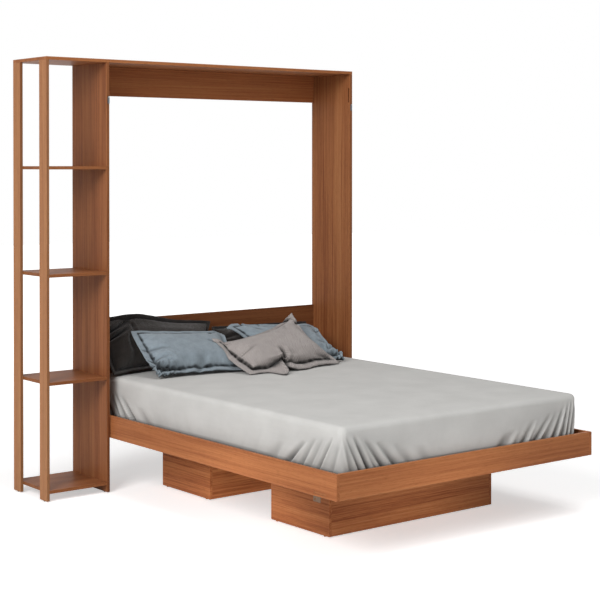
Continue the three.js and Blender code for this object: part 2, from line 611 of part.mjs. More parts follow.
function mattressGeometry() {
  const stops = [
    gridStops(MATTRESS_WIDTH, MATTRESS_CELLS.across),
    gridStops(MATTRESS_LENGTH, MATTRESS_CELLS.along),
    gridStops(MATTRESS_THICKNESS, MATTRESS_CELLS.up),
  ];
  const cells = stops.map((row) => row.length - 1);
  const geometry = new THREE.BoxGeometry(2, 2, 2, ...cells);
  const position = geometry.attributes.position;
  const halves = stops.map((row) => row.at(-1));
  for (let i = 0; i < position.count; i += 1) {
    const unit = [position.getX(i), position.getY(i), position.getZ(i)];
    const full = unit.map((value, axis) => {
      const cell = Math.round(((value + 1) / 2) * cells[axis]);
      return stops[axis][cell];
    });
    const inner = full.map((value, axis) => {
      const flat = halves[axis] - MATTRESS_EDGE_RADIUS;
      return THREE.MathUtils.clamp(value, -flat, flat);
    });
    const offset = new THREE.Vector3(...full.map((value, axis) => value - inner[axis]));
    const point = new THREE.Vector3(...inner).add(offset.setLength(MATTRESS_EDGE_RADIUS));
    const [across, along, up] = [point.x / halves[0], point.y / halves[1], point.z / halves[2]];
    const crown = MATTRESS_CROWN * (1 - across ** 2) * (1 - along ** 2) * Math.max(0, up);
    const drawn = SHEET_DRAW_IN * Math.max(0, -up);
    position.setXYZ(i, point.x - drawn * across, point.y - drawn * along, point.z + crown);
  }
  return geometry;
}

const mattressMiddle = (MATTRESS_FOOT + MATTRESS_HEAD) / 2;
const mattress = place(bed, "mattress", mattressGeometry(), "sheet");
mattress.position.set(BED_MIDDLE, mattressMiddle, MATTRESS_BOTTOM + MATTRESS_THICKNESS / 2);

// How far the filling swells at a place across the pillow: nothing on the flange, all at the middle
function swell(value, flange) {
  const inside = Math.min(1, Math.abs(value) / (1 - flange));
  return Math.sqrt(Math.max(0, 1 - inside ** PILLOW_SWELL));
}

// Pillow: a crowned pad with a flat flange, its sides drawn in between the corners. Its front and
// back sheets share one grid, and a rim joins them all round.
function pillowPoints(width, height, thickness) {
  const points = [];
  for (const front of [1, -1]) {
    for (let row = 0; row <= PILLOW_ROWS; row += 1) {
      for (let column = 0; column <= PILLOW_COLUMNS; column += 1) {
        const u = (2 * column) / PILLOW_COLUMNS - 1;
        const v = (2 * row) / PILLOW_ROWS - 1;
        const narrowed = 1 - PILLOW_DRAW_IN.sides * (1 - v * v);
        const lowered = 1 - PILLOW_DRAW_IN.ends * (1 - u * u);
        const puff = swell(u, PILLOW_FLANGE) * swell(v, (PILLOW_FLANGE * width) / height);
        const depth = PILLOW_RIM / 2 + ((thickness - PILLOW_RIM) / 2) * puff;
        points.push((u * narrowed * width) / 2, -front * depth, (v * lowered * height) / 2);
      }
    }
  }
  return points;
}

function pillowFaces() {
  const faces = [];
  const across = PILLOW_COLUMNS + 1;
  const sheet = (PILLOW_ROWS + 1) * across;
  const at = (layer, row, column) => layer * sheet + row * across + column;
  const quad = (a, b, c, d) => faces.push(a, b, c, a, c, d);
  for (let row = 0; row < PILLOW_ROWS; row += 1) {
    for (let column = 0; column < PILLOW_COLUMNS; column += 1) {
      const corners = (layer) => [
        at(layer, row, column),
        at(layer, row, column + 1),
        at(layer, row + 1, column + 1),
        at(layer, row + 1, column),
      ];
      quad(...corners(0));
      quad(...corners(1).reverse());
    }
  }
  const rim = (from, to) => quad(at(0, ...to), at(0, ...from), at(1, ...from), at(1, ...to));
  for (let column = 0; column < PILLOW_COLUMNS; column += 1) {
    rim([0, column], [0, column + 1]);
    rim([PILLOW_ROWS, column + 1], [PILLOW_ROWS, column]);
  }
  for (let row = 0; row < PILLOW_ROWS; row += 1) {
    rim([row + 1, 0], [row, 0]);
    rim([row, PILLOW_COLUMNS], [row + 1, PILLOW_COLUMNS]);
  }
  return faces;
}

function pillowGeometry(pillow) {
  const points = pillowPoints(pillow.width, pillow.height, pillow.thickness);
  const geometry = new THREE.BufferGeometry();
  geometry.setAttribute("position", new THREE.Float32BufferAttribute(points, 3));
  geometry.setIndex(pillowFaces());
  geometry.computeVertexNormals();
  return geometry;
}

// Each pillow is lowered on to what lies under it, and stops just before it touches
function placedSolid(mesh) {
  mesh.updateMatrix();
  return solidOf(mesh.geometry.clone().applyMatrix4(mesh.matrix));
}

const lying = [placedSolid(mattress)];
for (const pillow of PILLOWS) {
  const mesh = place(bed, pillow.name, pillowGeometry(pillow), pillow.finish);
  mesh.rotation.order = "ZXY";
  mesh.rotation.set(
    -THREE.MathUtils.degToRad(pillow.lean),
    THREE.MathUtils.degToRad(pillow.roll),
    THREE.MathUtils.degToRad(pillow.turn));
  mesh.position.set(BED_MIDDLE + pillow.across, MATTRESS_HEAD - pillow.fromHead, 0);
  const touches = (height) => {
    mesh.position.z = height;
    const solid = placedSolid(mesh);
    return lying.some((other) => solid.intersect(other).volume() > 0);
  };
  let low = MATTRESS_BOTTOM + MATTRESS_THICKNESS;
  let high = low + pillow.height + pillow.thickness + 2 * MATTRESS_THICKNESS;
  while (high - low > PILLOW_GAP / 4) {
    const middle = (low + high) / 2;
    if (touches(middle)) low = middle;
    else high = middle;
  }
  mesh.position.z = high + PILLOW_GAP;
  lying.push(placedSolid(mesh));
}

// The part's origin: bottom centre of the whole object, bed down
const wallBed = new THREE.Group();
wallBed.name = "wall_bed";
wallBed.add(cabinet, bed);
const middleX = (CABINET_RIGHT - TOWER_WIDTH) / 2;
const middleY = (CABINET_DEPTH - BED_REACH) / 2;
cabinet.position.set(-middleX, -middleY, 0);
bed.position.set(-middleX, -middleY, 0);

export default wallBed;
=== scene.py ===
"""A fold-up double wall bed in reddish brown laminate: an open-backed cabinet with a shelf tower, the bed
frame on its two box feet, a mattress in a pale fitted sheet, and five pillows. Metres, +Z up."""
import math

import bpy
import numpy as np
from mathutils import Matrix, Vector
from mathutils.bvhtree import BVHTree


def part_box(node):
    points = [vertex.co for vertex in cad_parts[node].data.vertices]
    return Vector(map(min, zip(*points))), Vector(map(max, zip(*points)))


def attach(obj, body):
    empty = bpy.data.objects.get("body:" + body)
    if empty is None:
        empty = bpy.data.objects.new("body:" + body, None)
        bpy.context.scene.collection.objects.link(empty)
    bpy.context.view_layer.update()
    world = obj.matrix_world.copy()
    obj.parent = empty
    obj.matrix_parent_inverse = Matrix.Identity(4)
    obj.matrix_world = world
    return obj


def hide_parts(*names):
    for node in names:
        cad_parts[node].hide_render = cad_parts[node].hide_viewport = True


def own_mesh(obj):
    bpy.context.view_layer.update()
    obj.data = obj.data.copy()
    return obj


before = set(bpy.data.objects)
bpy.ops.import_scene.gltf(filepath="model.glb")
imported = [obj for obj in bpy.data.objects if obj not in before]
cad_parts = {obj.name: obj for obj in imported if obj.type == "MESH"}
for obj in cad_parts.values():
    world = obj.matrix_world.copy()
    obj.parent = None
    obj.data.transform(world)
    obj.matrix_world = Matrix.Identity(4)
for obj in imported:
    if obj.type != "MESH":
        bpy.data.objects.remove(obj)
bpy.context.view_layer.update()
bpy.ops.object.select_all(action="DESELECT")
scene = bpy.context.scene


# Camera: fitted to the corners of the boards in the photograph, whose frame is 600 x 600 pixels. Its turns
# are in degrees, its lens and its sensor in millimetres.
CAMERA_PLACE = (-4.2066, -5.3857, 1.5751)
CAMERA_TURN = 38.196
CAMERA_DOWN = 0.6
CAMERA_LENS = 88.144
CAMERA_SHIFT = -0.2025
CAMERA_SIGHT = 60
SENSOR = 36


def make_camera():
    data = bpy.data.cameras.new("camera")
    data.sensor_width = SENSOR
    data.lens = CAMERA_LENS
    data.shift_y = CAMERA_SHIFT
    data.clip_end = CAMERA_SIGHT
    camera = bpy.data.objects.new("camera", data)
    camera.location = CAMERA_PLACE
    camera.rotation_euler = (math.radians(90 - CAMERA_DOWN), 0, math.radians(-CAMERA_TURN))
    scene.collection.objects.link(camera)
    scene.camera = camera


# Materials: colours and nodes. A mix node's sockets for colours go by their numbers.
MATHS = "ShaderNodeMath"
RAMP = "ShaderNodeValToRGB"
MIX = "ShaderNodeMix"
MULTIPLIED = {"data_type": "RGBA", "blend_type": "MULTIPLY"}
MIX_SHARE = 0
MIX_FIRST = 6
MIX_SECOND = 7
MIX_RESULT = 2


def linear(hex_colour):
    """A written sRGB colour as the linear one that Blender mixes."""
    parts = [int(hex_colour[i:i + 2], 16) / 255 for i in (1, 3, 5)]
    return tuple(p / 12.92 if p <= 0.04045 else ((p + 0.055) / 1.055) ** 2.4 for p in parts) + (1,)


def shade(hex_colour, factor, paler=1.0):
    """The same colour, darker or lighter by that factor, and its blue, and half as much its green, raised by
    the other."""
    factors = (factor, factor * (0.5 + 0.5 * paler), factor * paler)
    parts = [min(255, round(int(hex_colour[i:i + 2], 16) * f)) for i, f in zip((1, 3, 5), factors)]
    return "#" + "".join(f"{p:02x}" for p in parts)


def add(tree, kind, inputs=None, stops=(), **settings):
    """A new node with its settings. An input is a value, a socket to take it from, or a node whose first
    output it takes. Stops are the places and colours of a colour ramp."""
    made = tree.nodes.new(kind)
    for name, value in settings.items():
        setattr(made, name, value)
    for name, value in (inputs or {}).items():
        if isinstance(value, bpy.types.Node):
            value = value.outputs[0]
        if isinstance(value, bpy.types.NodeSocket):
            tree.links.new(value, made.inputs[name])
        else:
            made.inputs[name].default_value = value
    while stops and len(made.color_ramp.elements) < len(stops):
        made.color_ramp.elements.new(0.5)
    for index, (place, colour) in enumerate(stops):
        element = made.color_ramp.elements[index]
        element.position = place
        element.color = linear(colour) if isinstance(colour, str) else (colour, colour, colour, 1)
    return made


def new_material(name):
    material = bpy.data.materials.new(name)
    material.use_nodes = True
    material.node_tree.nodes.clear()
    return material, material.node_tree


def close_material(material, shader):
    add(material.node_tree, "ShaderNodeOutputMaterial", {"Surface": shader})
    return material


def stretched_noise(tree, coordinates, scales, shift=(0, 0, 0), detail=3.0, roughness=0.5, distortion=0.0):
    """Noise whose grain is 1 / scale metres wide along each axis."""
    mapping = add(tree, "ShaderNodeMapping", {"Vector": coordinates, "Location": shift, "Scale": scales})
    return add(tree, "ShaderNodeTexNoise", {
        "Vector": mapping,
        "Scale": 1.0,
        "Detail": detail,
        "Roughness": roughness,
        "Distortion": distortion,
    })


def with_bump(tree, height, depth, inputs):
    """A Principled shader with a bump of that height, whose depth is in metres."""
    bump = add(tree, "ShaderNodeBump", {"Height": height, "Distance": depth, "Strength": 1.0})
    return add(tree, "ShaderNodeBsdfPrincipled", {**inputs, "Normal": bump})


# Printed wood laminate on particle board, satin: long straight streaks, pores as short dark dashes. A
# streak is 4 to 9 mm wide and a darker band of the figure 40 to 90 mm. The print is a mix of bands,
# streaks and fibres. Faces whose normal points to the front have the edge banding's tone.
GRAIN_STOPS = [(0.30, "#70391e"), (0.43, "#8a5130"), (0.53, "#a2663f"), (0.70, "#b37a4e")]
PORE_STOPS = [(0.30, 0.72), (0.40, 1.0)]
BAND_PER_METRE = (17, 0.55)
STREAK_PER_METRE = (150, 1.7)
FIBRE_PER_METRE = (520, 9)
PORE_PER_METRE = (800, 30)
BAND_SHARE = 0.32
STREAK_SHARE = 0.46
FIBRE_SHARE = 0.22
FRONT_FROM = 0.80
FRONT_FULL = 0.95
LAMINATE_ROUGHNESS = 0.38
STREAK_ROUGHNESS = 0.22
FIBRE_RELIEF = 0.4
PORE_RELIEF = 0.6
LAMINATE_RELIEF = 0.00012


def laminate(name, grain, shift, contrast, tone, edge, paler=1.0):
    """grain is the axis, 0 to 2, that the board's streaks run along. tone makes the board as a whole
    lighter or darker, edge is the share of its tone that the banding on its front edge has, and paler how
    much more blue and green there is in it."""
    material, tree = new_material(name)
    coordinates = add(tree, "ShaderNodeTexCoord").outputs["Object"]

    def along_grain(per_metre, detail, roughness, distortion=0.0):
        scales = [per_metre[0]] * 3
        scales[grain] = per_metre[1]
        return stretched_noise(tree, coordinates, scales, shift, detail, roughness, distortion)

    band = along_grain(BAND_PER_METRE, detail=2.0, roughness=0.45, distortion=0.6)
    streak = along_grain(STREAK_PER_METRE, detail=3.0, roughness=0.55, distortion=0.3)
    fibre = along_grain(FIBRE_PER_METRE, detail=2.0, roughness=0.6)
    pore = along_grain(PORE_PER_METRE, detail=1.0, roughness=0.5)
    mixed = add(tree, MATHS, {0: band, 1: BAND_SHARE}, operation="MULTIPLY")
    mixed = add(tree, MATHS, {0: streak, 1: STREAK_SHARE, 2: mixed}, operation="MULTIPLY_ADD")
    mixed = add(tree, MATHS, {0: fibre, 1: FIBRE_SHARE, 2: mixed}, operation="MULTIPLY_ADD")
    centred = add(tree, MATHS, {0: mixed, 1: 0.5}, operation="SUBTRACT")
    spread = add(tree, MATHS, {0: centred, 1: contrast, 2: 0.5}, operation="MULTIPLY_ADD")
    toned_stops = [(place, shade(tint, tone, paler)) for place, tint in GRAIN_STOPS]
    colour = add(tree, RAMP, {"Fac": spread}, toned_stops)
    pores = add(tree, RAMP, {"Fac": pore}, PORE_STOPS)
    facing = add(tree, "ShaderNodeTexCoord").outputs["Normal"]
    backward = add(tree, "ShaderNodeSeparateXYZ", {0: facing}).outputs["Y"]
    forward = add(tree, MATHS, {0: backward, 1: -1.0}, operation="MULTIPLY")
    banding = add(tree, RAMP, {"Fac": forward}, [(FRONT_FROM, 1.0), (FRONT_FULL, edge)])
    figure = add(tree, MIX, {MIX_SHARE: 1.0, MIX_FIRST: colour, MIX_SECOND: pores}, **MULTIPLIED)
    printed = figure.outputs[MIX_RESULT]
    banded = add(tree, MIX, {MIX_SHARE: 1.0, MIX_FIRST: printed, MIX_SECOND: banding}, **MULTIPLIED)
    roughness = add(
        tree, MATHS, {0: streak, 1: STREAK_ROUGHNESS, 2: LAMINATE_ROUGHNESS}, operation="MULTIPLY_ADD")
    pitted = add(tree, MATHS, {0: pores, 1: PORE_RELIEF}, operation="MULTIPLY")
    height = add(tree, MATHS, {0: fibre, 1: FIBRE_RELIEF, 2: pitted}, operation="MULTIPLY_ADD")
    shader = with_bump(tree, height, LAMINATE_RELIEF, {
        "Base Color": banded.outputs[MIX_RESULT],
        "Roughness": roughness,
        "Specular IOR Level": 0.1,
    })
    return close_material(material, shader)


# Metals and plastics: each has a soft cloud in it, which makes its gloss or its tone slightly uneven. The
# noise is given as how often it changes per metre, along each axis.
METAL_LINES = (900, 12)
METAL_CLOUD = (60, 60, 60)
METAL_UNEVENNESS = 0.16
METAL_RELIEF = 0.00002
COAT_CLOUD = (35, 35, 35)
COAT_UNEVENNESS = 0.14


def metal(name, colour, roughness, brushed_along, per_metre=METAL_LINES):
    """Sheet or bar metal: fine lines of the rolling or brushing, 1 mm apart, and a slightly uneven gloss."""
    material, tree = new_material(name)
    coordinates = add(tree, "ShaderNodeTexCoord").outputs["Object"]
    scales = [per_metre[0]] * 3
    scales[brushed_along] = per_metre[1]
    lines = stretched_noise(tree, coordinates, scales, detail=2.0)
    cloud = stretched_noise(tree, coordinates, METAL_CLOUD)
    gloss = add(tree, MATHS, {
        0: cloud, 1: METAL_UNEVENNESS, 2: roughness - METAL_UNEVENNESS / 2}, operation="MULTIPLY_ADD")
    tint = add(tree, RAMP, {"Fac": lines}, [(0.3, shade(colour, 0.86)), (0.7, colour)])
    shader = with_bump(tree, lines, METAL_RELIEF, {"Base Color": tint, "Metallic": 1.0, "Roughness": gloss})
    return close_material(material, shader)


def coated(name, colour, roughness, grit_per_metre, grit_depth):
    """Enamel or moulded plastic: one colour with a faint cloud in it and a fine even grit."""
    material, tree = new_material(name)
    coordinates = add(tree, "ShaderNodeTexCoord").outputs["Object"]
    grit = stretched_noise(tree, coordinates, (grit_per_metre,) * 3, detail=2.0)
    cloud = stretched_noise(tree, coordinates, COAT_CLOUD)
    tint = add(tree, RAMP, {"Fac": cloud}, [(0.3, shade(colour, 0.88)), (0.7, shade(colour, 1.08))])
    gloss = add(tree, MATHS, {
        0: grit, 1: COAT_UNEVENNESS, 2: roughness - COAT_UNEVENNESS / 2}, operation="MULTIPLY_ADD")
    shader = with_bump(tree, grit, grit_depth, {"Base Color": tint, "Roughness": gloss, "IOR": 1.5})
    return close_material(material, shader)


# Fabrics. The threads of sheet and pillow linen are 0.3 to 0.5 mm and wouldn't show, so the weave is
# drawn with a 2 mm pitch. The coarse basket weave of the grey pillow has a 10 mm repeat. What is deep in a
# fold gets painted shade, darker in the pillows' cloth than in the sheet.
SHEET_PAINTED_SHADE_STOPS = [(0.0, 1.0), (0.6, 0.60), (1.0, 0.28)]
LINEN_PAINTED_SHADE_STOPS = [(0.0, 1.0), (0.40, 0.30), (0.9, 0.02)]
SHEET_SLUB_ACROSS = (12, 620, 620)
SHEET_SLUB_ALONG = (620, 12, 60)
SHEET_CLOUD = (7, 7, 7)
SHEET_CLOUD_TONE = 0.4
SHEET_THREAD_TONE = 0.12
SHEET_CLOUD_HEIGHT = 2.0
SHEET_RELIEF = 0.00008
LINEN_WOBBLE = (40, 40, 40)
LINEN_WANDER = 0.9
LINEN_SLUB_ACROSS = (25, 420, 1)
LINEN_SLUB_ALONG = (420, 25, 1)
LINEN_CLOUD = (22, 22, 22)
WEAVE_TONE = 0.30
SLUB_TONE = 0.25


def with_painted_shade(tree, tint, stops):
    """The tint with painted shade from the mesh's own fold attribute, 0 outside and 1 deep inside a fold."""
    fold = add(tree, "ShaderNodeAttribute", attribute_name="fold").outputs["Fac"]
    depths = add(tree, RAMP, {"Fac": fold}, stops)
    mixed = add(tree, MIX, {MIX_SHARE: 1.0, MIX_FIRST: tint, MIX_SECOND: depths}, **MULTIPLIED)
    return mixed.outputs[MIX_RESULT]


def sheeting(name, colour):
    """Cotton percale: matt, nearly even, with faint long slubs and soft cloudy creasing. It has painted
    shade down in its pleats, near its corners and in the gap behind the rails."""
    material, tree = new_material(name)
    coordinates = add(tree, "ShaderNodeTexCoord").outputs["Object"]
    slub_across = stretched_noise(tree, coordinates, SHEET_SLUB_ACROSS, detail=2.0)
    slub_along = stretched_noise(tree, coordinates, SHEET_SLUB_ALONG, detail=2.0)
    cloud = stretched_noise(tree, coordinates, SHEET_CLOUD)
    threads = add(tree, MATHS, {0: slub_across, 1: slub_along}, operation="ADD")
    cloudy = add(tree, MATHS, {0: cloud, 1: SHEET_CLOUD_TONE}, operation="MULTIPLY")
    mixed = add(tree, MATHS, {0: threads, 1: SHEET_THREAD_TONE, 2: cloudy}, operation="MULTIPLY_ADD")
    tint = add(tree, RAMP, {"Fac": mixed}, [(0.22, shade(colour, 0.97)), (0.42, shade(colour, 1.02))])
    height = add(tree, MATHS, {0: cloud, 1: SHEET_CLOUD_HEIGHT, 2: threads}, operation="MULTIPLY_ADD")
    shader = with_bump(tree, height, SHEET_RELIEF, {
        "Base Color": with_painted_shade(tree, tint, SHEET_PAINTED_SHADE_STOPS),
        "Roughness": 0.92,
        "Sheen Weight": 0.1,
        "Specular IOR Level": 0.2,
    })
    return close_material(material, shader)


def linen(name, colour, pitch, contrast, cloudiness, depth, sheen):
    """Plain-woven cloth on the piece's own UV map, in metres: two sets of threads over and under each
    other, slubs along both, and a cloudy washed tone. It has painted shade in seams, creases and bunched
    corners, and under its flange's lowest edge."""
    material, tree = new_material(name)
    uv = add(tree, "ShaderNodeTexCoord").outputs["UV"]
    split = add(tree, "ShaderNodeSeparateXYZ", {0: uv})
    wobble = stretched_noise(tree, uv, LINEN_WOBBLE, detail=2.0)
    threads = []
    for axis, wander in (("X", LINEN_WANDER), ("Y", -LINEN_WANDER)):
        along = split.outputs[axis]
        place = add(tree, MATHS, {0: wobble, 1: pitch * wander, 2: along}, operation="MULTIPLY_ADD")
        turned = add(tree, MATHS, {0: place, 1: 2 * math.pi / pitch}, operation="MULTIPLY")
        threads.append(add(tree, MATHS, {0: turned}, operation="SINE"))
    crossed = add(tree, MATHS, {0: threads[0], 1: threads[1]}, operation="MULTIPLY")
    weave = add(tree, MATHS, {0: crossed, 1: 0.5, 2: 0.5}, operation="MULTIPLY_ADD")
    slub = add(tree, MATHS, {
        0: stretched_noise(tree, uv, LINEN_SLUB_ACROSS, detail=2.0),
        1: stretched_noise(tree, uv, LINEN_SLUB_ALONG, detail=2.0),
    }, operation="ADD")
    cloud = stretched_noise(tree, uv, LINEN_CLOUD, detail=5.0, roughness=0.65)
    tone = 0.5
    parts = [(weave, 0.5, WEAVE_TONE * contrast), (cloud, 0.5, cloudiness), (slub, 1.0, SLUB_TONE)]
    for part, middle, weight in parts:
        centred = add(tree, MATHS, {0: part, 1: middle}, operation="SUBTRACT")
        tone = add(tree, MATHS, {0: centred, 1: weight, 2: tone}, operation="MULTIPLY_ADD")
    tint = add(tree, RAMP, {"Fac": tone}, [(0.25, shade(colour, 0.82)), (0.75, shade(colour, 1.15))])
    height = add(tree, MATHS, {0: slub, 1: 0.5, 2: weave}, operation="MULTIPLY_ADD")
    shader = with_bump(tree, height, depth, {
        "Base Color": with_painted_shade(tree, tint, LINEN_PAINTED_SHADE_STOPS),
        "Roughness": 0.95,
        "Sheen Weight": sheen,
        "Specular IOR Level": 0.15,
    })
    return close_material(material, shader)


# Boards: each has its own stretch of the printed grain, along its length. The figure is strongest on the
# box feet and faintest on the posts, and the front edges of uprights have a darker edge banding. The tones
# carry painted light: the headboard, the side panels and the tower's boards are darker as painted shade
# deep in the cabinet, the rear box foot and the bed's boards lighter as painted light under the bed, and
# the posts lighter and paler as a painted sheen. A look is contrast, tone, edge and paler.
SHIFT_PER_BOARD = (0.37, 0.53, 0.71)
PLAIN_BOARD = (0.75, 0.96, 1.0)
BOARD_LOOKS_WITH_PAINTED_LIGHT = {
    "front_box": (1.1, 1.00, 1.0),
    "rear_box": (1.1, 1.16, 1.0),
    "bed_": (0.65, 1.05, 1.0),
    "upper_back_rail": (0.7, 1.02, 1.0, 0.97),
    "headboard_panel": (0.7, 0.73, 1.0, 0.94),
    "tower_front_post": (0.55, 1.05, 0.66, 1.22),
    "tower_rear_post": (0.55, 1.04, 0.66, 1.18),
    "left_side_panel": (0.95, 0.90, 0.80),
    "right_side_panel": (0.95, 0.91, 0.80),
    "tower_": (0.6, 0.88, 1.0),
}
BOARD_WORDS = ("panel", "rail", "post", "shelf", "board", "batten")


def dress(node, material):
    """Gives a CAD node its finish."""
    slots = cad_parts[node].data.materials
    slots.clear()
    slots.append(material)


def dress_boards():
    boards = sorted(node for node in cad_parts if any(word in node for word in BOARD_WORDS))
    for index, node in enumerate(boards):
        lowest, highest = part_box(node)
        sizes = list(highest - lowest)
        grain = 0 if "shelf" in node else sizes.index(max(sizes))
        shift = tuple(step * (index + 1) for step in SHIFT_PER_BOARD)
        looks = [look for start, look in BOARD_LOOKS_WITH_PAINTED_LIGHT.items() if node.startswith(start)]
        look = looks[0] if looks else PLAIN_BOARD
        dress(node, laminate("laminate_" + node, grain, shift, *look))


def dress_hardware():
    zinc = metal("zinc_plated_steel_pressed", "#b9bab8", roughness=0.34, brushed_along=2)
    bright = metal("chromed_rod_ground", "#d2d3d4", roughness=0.16, brushed_along=2, per_metre=(700, 40))
    nickel = metal("nickel_plated_latch_stamped", "#707275", roughness=0.40, brushed_along=2)
    bronzed = metal("bronzed_steel_angle_bent", "#77604f", roughness=0.44, brushed_along=2)
    tongue_board = laminate("laminate_lock_tongues", 1, SHIFT_PER_BOARD, contrast=0.55, tone=0.95, edge=1.0)
    enamel = coated("black_stove_enamel_sprayed", "#29292c", 0.34, grit_per_metre=500, grit_depth=0.00003)
    nylon = coated("dark_nylon_glide_moulded", "#2a2624", 0.55, grit_per_metre=900, grit_depth=0.00006)
    finishes = {
        "_strut_cylinder": enamel,
        "_strut_rod": bright,
        "_strut_anchor": zinc,
        "_hinge_plate": zinc,
        "_pivot_bolt": zinc,
        "_lock_tongue": tongue_board,
        "_latch": nickel,
        "_glide": nylon,
        "_grip_angle": bronzed,
    }
    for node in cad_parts:
        for ending, finish in finishes.items():
            if node.endswith(ending):
                dress(node, finish)
    put_screws(zinc)


# Pieces: meshes, their finish and their modifiers
def mesh_object(name, vertices, faces, material):
    mesh = bpy.data.meshes.new(name)
    mesh.from_pydata([tuple(v) for v in vertices], [], faces)
    mesh.update()
    made = bpy.data.objects.new(name, mesh)
    scene.collection.objects.link(made)
    mesh.materials.append(material)
    return made


def set_painted_shade(piece, values):
    """Writes each point's painted shade, 0 to 1, deep in a fold or where the cloth lies close, for the
    cloth's material.
    """
    fold = piece.data.attributes.new(name="fold", type="FLOAT", domain="POINT")
    fold.data.foreach_set("value", np.asarray(values, np.float32))


def activate(piece):
    bpy.ops.object.select_all(action="DESELECT")
    piece.select_set(True)
    bpy.context.view_layer.objects.active = piece


def apply_modifier(piece, kind, **settings):
    activate(piece)
    modifier = piece.modifiers.new(kind.lower(), kind)
    for name, value in settings.items():
        setattr(modifier, name, value)
    bpy.ops.object.modifier_apply(modifier=modifier.name)


def smooth(piece):
    activate(piece)
    bpy.ops.object.shade_smooth()


# Pan head screws with a cross recess, on hinge plates, strut anchors, grip angles and latches. The
# thickness of those sheets, and where the latch's pin is, are as in the solids.
SCREW_RADIUS = 0.0036
SCREW_HEIGHT = 0.0020
SCREW_SIDES = 24
SCREW_ROUNDING = 0.0011
SCREW_ROUNDING_STEPS = 4
SCREW_SMOOTH_ANGLE = 35
SCREW_MARGIN = 0.009
SCREW_LIFT = 0.0001
RECESS_LENGTH = 0.0042
RECESS_WIDTH = 0.0009
RECESS_DEPTH = 0.0012
ANCHOR_PLATE = 0.003
HINGE_PLATE = 0.004
GRIP_SHEET = 0.002
LATCH_PIN_BELOW_TOP = 0.005
FACING_UP = 0.9


def make_screw(material):
    """One screw head at the origin, which faces up."""
    bpy.ops.mesh.primitive_cylinder_add(
        vertices=SCREW_SIDES, radius=SCREW_RADIUS, depth=SCREW_HEIGHT, location=(0, 0, SCREW_HEIGHT / 2))
    screw = bpy.context.active_object
    bpy.ops.object.transform_apply(location=True, rotation=True, scale=True)
    for face in screw.data.polygons:
        face.select = face.normal.z > FACING_UP
    bpy.ops.object.mode_set(mode="EDIT")
    bpy.ops.mesh.bevel(offset=SCREW_ROUNDING, segments=SCREW_ROUNDING_STEPS, affect="EDGES")
    bpy.ops.object.mode_set(mode="OBJECT")
    for turn in (0, math.pi / 2):
        bpy.ops.mesh.primitive_cube_add(size=1, location=(0, 0, SCREW_HEIGHT), rotation=(0, 0, turn))
        cutter = bpy.context.active_object
        cutter.scale = (RECESS_LENGTH, RECESS_WIDTH, 2 * RECESS_DEPTH)
        apply_modifier(screw, "BOOLEAN", operation="DIFFERENCE", object=cutter)
        bpy.data.objects.remove(cutter)
    screw.data.materials.append(material)
    activate(screw)
    bpy.ops.object.shade_smooth_by_angle(angle=math.radians(SCREW_SMOOTH_ANGLE))
    return screw


def screw_places():
    """Where the screws are: a name, a place on the surface, the direction it faces and a body."""
    places = []

    def fastened(name, place, facing, body):
        places.append((f"{name}_screw_{len(places)}", place, facing, body))

    for side, inward in (("left", 1), ("right", -1)):
        low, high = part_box(f"{side}_strut_anchor")
        face_x = (low.x if inward > 0 else high.x) + inward * ANCHOR_PLATE
        for z in (low.z + SCREW_MARGIN, high.z - SCREW_MARGIN):
            fastened(f"{side}_anchor", (face_x, (low.y + high.y) / 2, z), (inward, 0, 0), "cabinet")
        low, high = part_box(f"{side}_hinge_plate")
        face_x = (low.x if inward > 0 else high.x) + inward * HINGE_PLATE
        for y in (low.y + SCREW_MARGIN, (low.y + high.y) / 2):
            for z in (low.z + SCREW_MARGIN, high.z - SCREW_MARGIN):
                fastened(f"{side}_hinge", (face_x, y, z), (inward, 0, 0), "bed")
        low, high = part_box(f"{side}_grip_angle")
        flap_x = (low.x + high.x) / 2 + inward * GRIP_SHEET / 2
        for y in (low.y + SCREW_MARGIN, high.y - SCREW_MARGIN):
            fastened(f"{side}_grip", (flap_x, y, high.z - GRIP_SHEET), (0, 0, -1), "bed")
        low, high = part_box(f"{side}_latch")
        place = ((low.x + high.x) / 2, low.y, high.z - LATCH_PIN_BELOW_TOP)
        places.append((f"{side}_latch_screw", place, (0, -1, 0), f"{side}_turn_latch"))
    return places


def put_screws(material):
    screw = make_screw(material)
    for name, place, facing, body in screw_places():
        copied = screw.copy()
        copied.data = screw.data.copy()
        copied.name = name
        turn = Vector((0, 0, 1)).rotation_difference(Vector(facing)).to_matrix().to_4x4()
        lifted = Vector(place) + SCREW_LIFT * Vector(facing)
        copied.data.transform(Matrix.Translation(lifted) @ turn)
        scene.collection.objects.link(copied)
        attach(copied, body)
    bpy.data.objects.remove(screw)


def wave_along(places, seed, lengths):
    """A smooth seeded wave between about -1 and 1."""
    random = np.random.default_rng(seed)
    total = np.zeros_like(places)
    for length in lengths:
        total += np.sin(2 * math.pi * places / length + random.uniform(0, 2 * math.pi))
    return total / len(lengths)


def hump(distance, width):
    """1 at no distance, and falling off softly on both sides."""
    return np.exp(-(distance / width) ** 2)


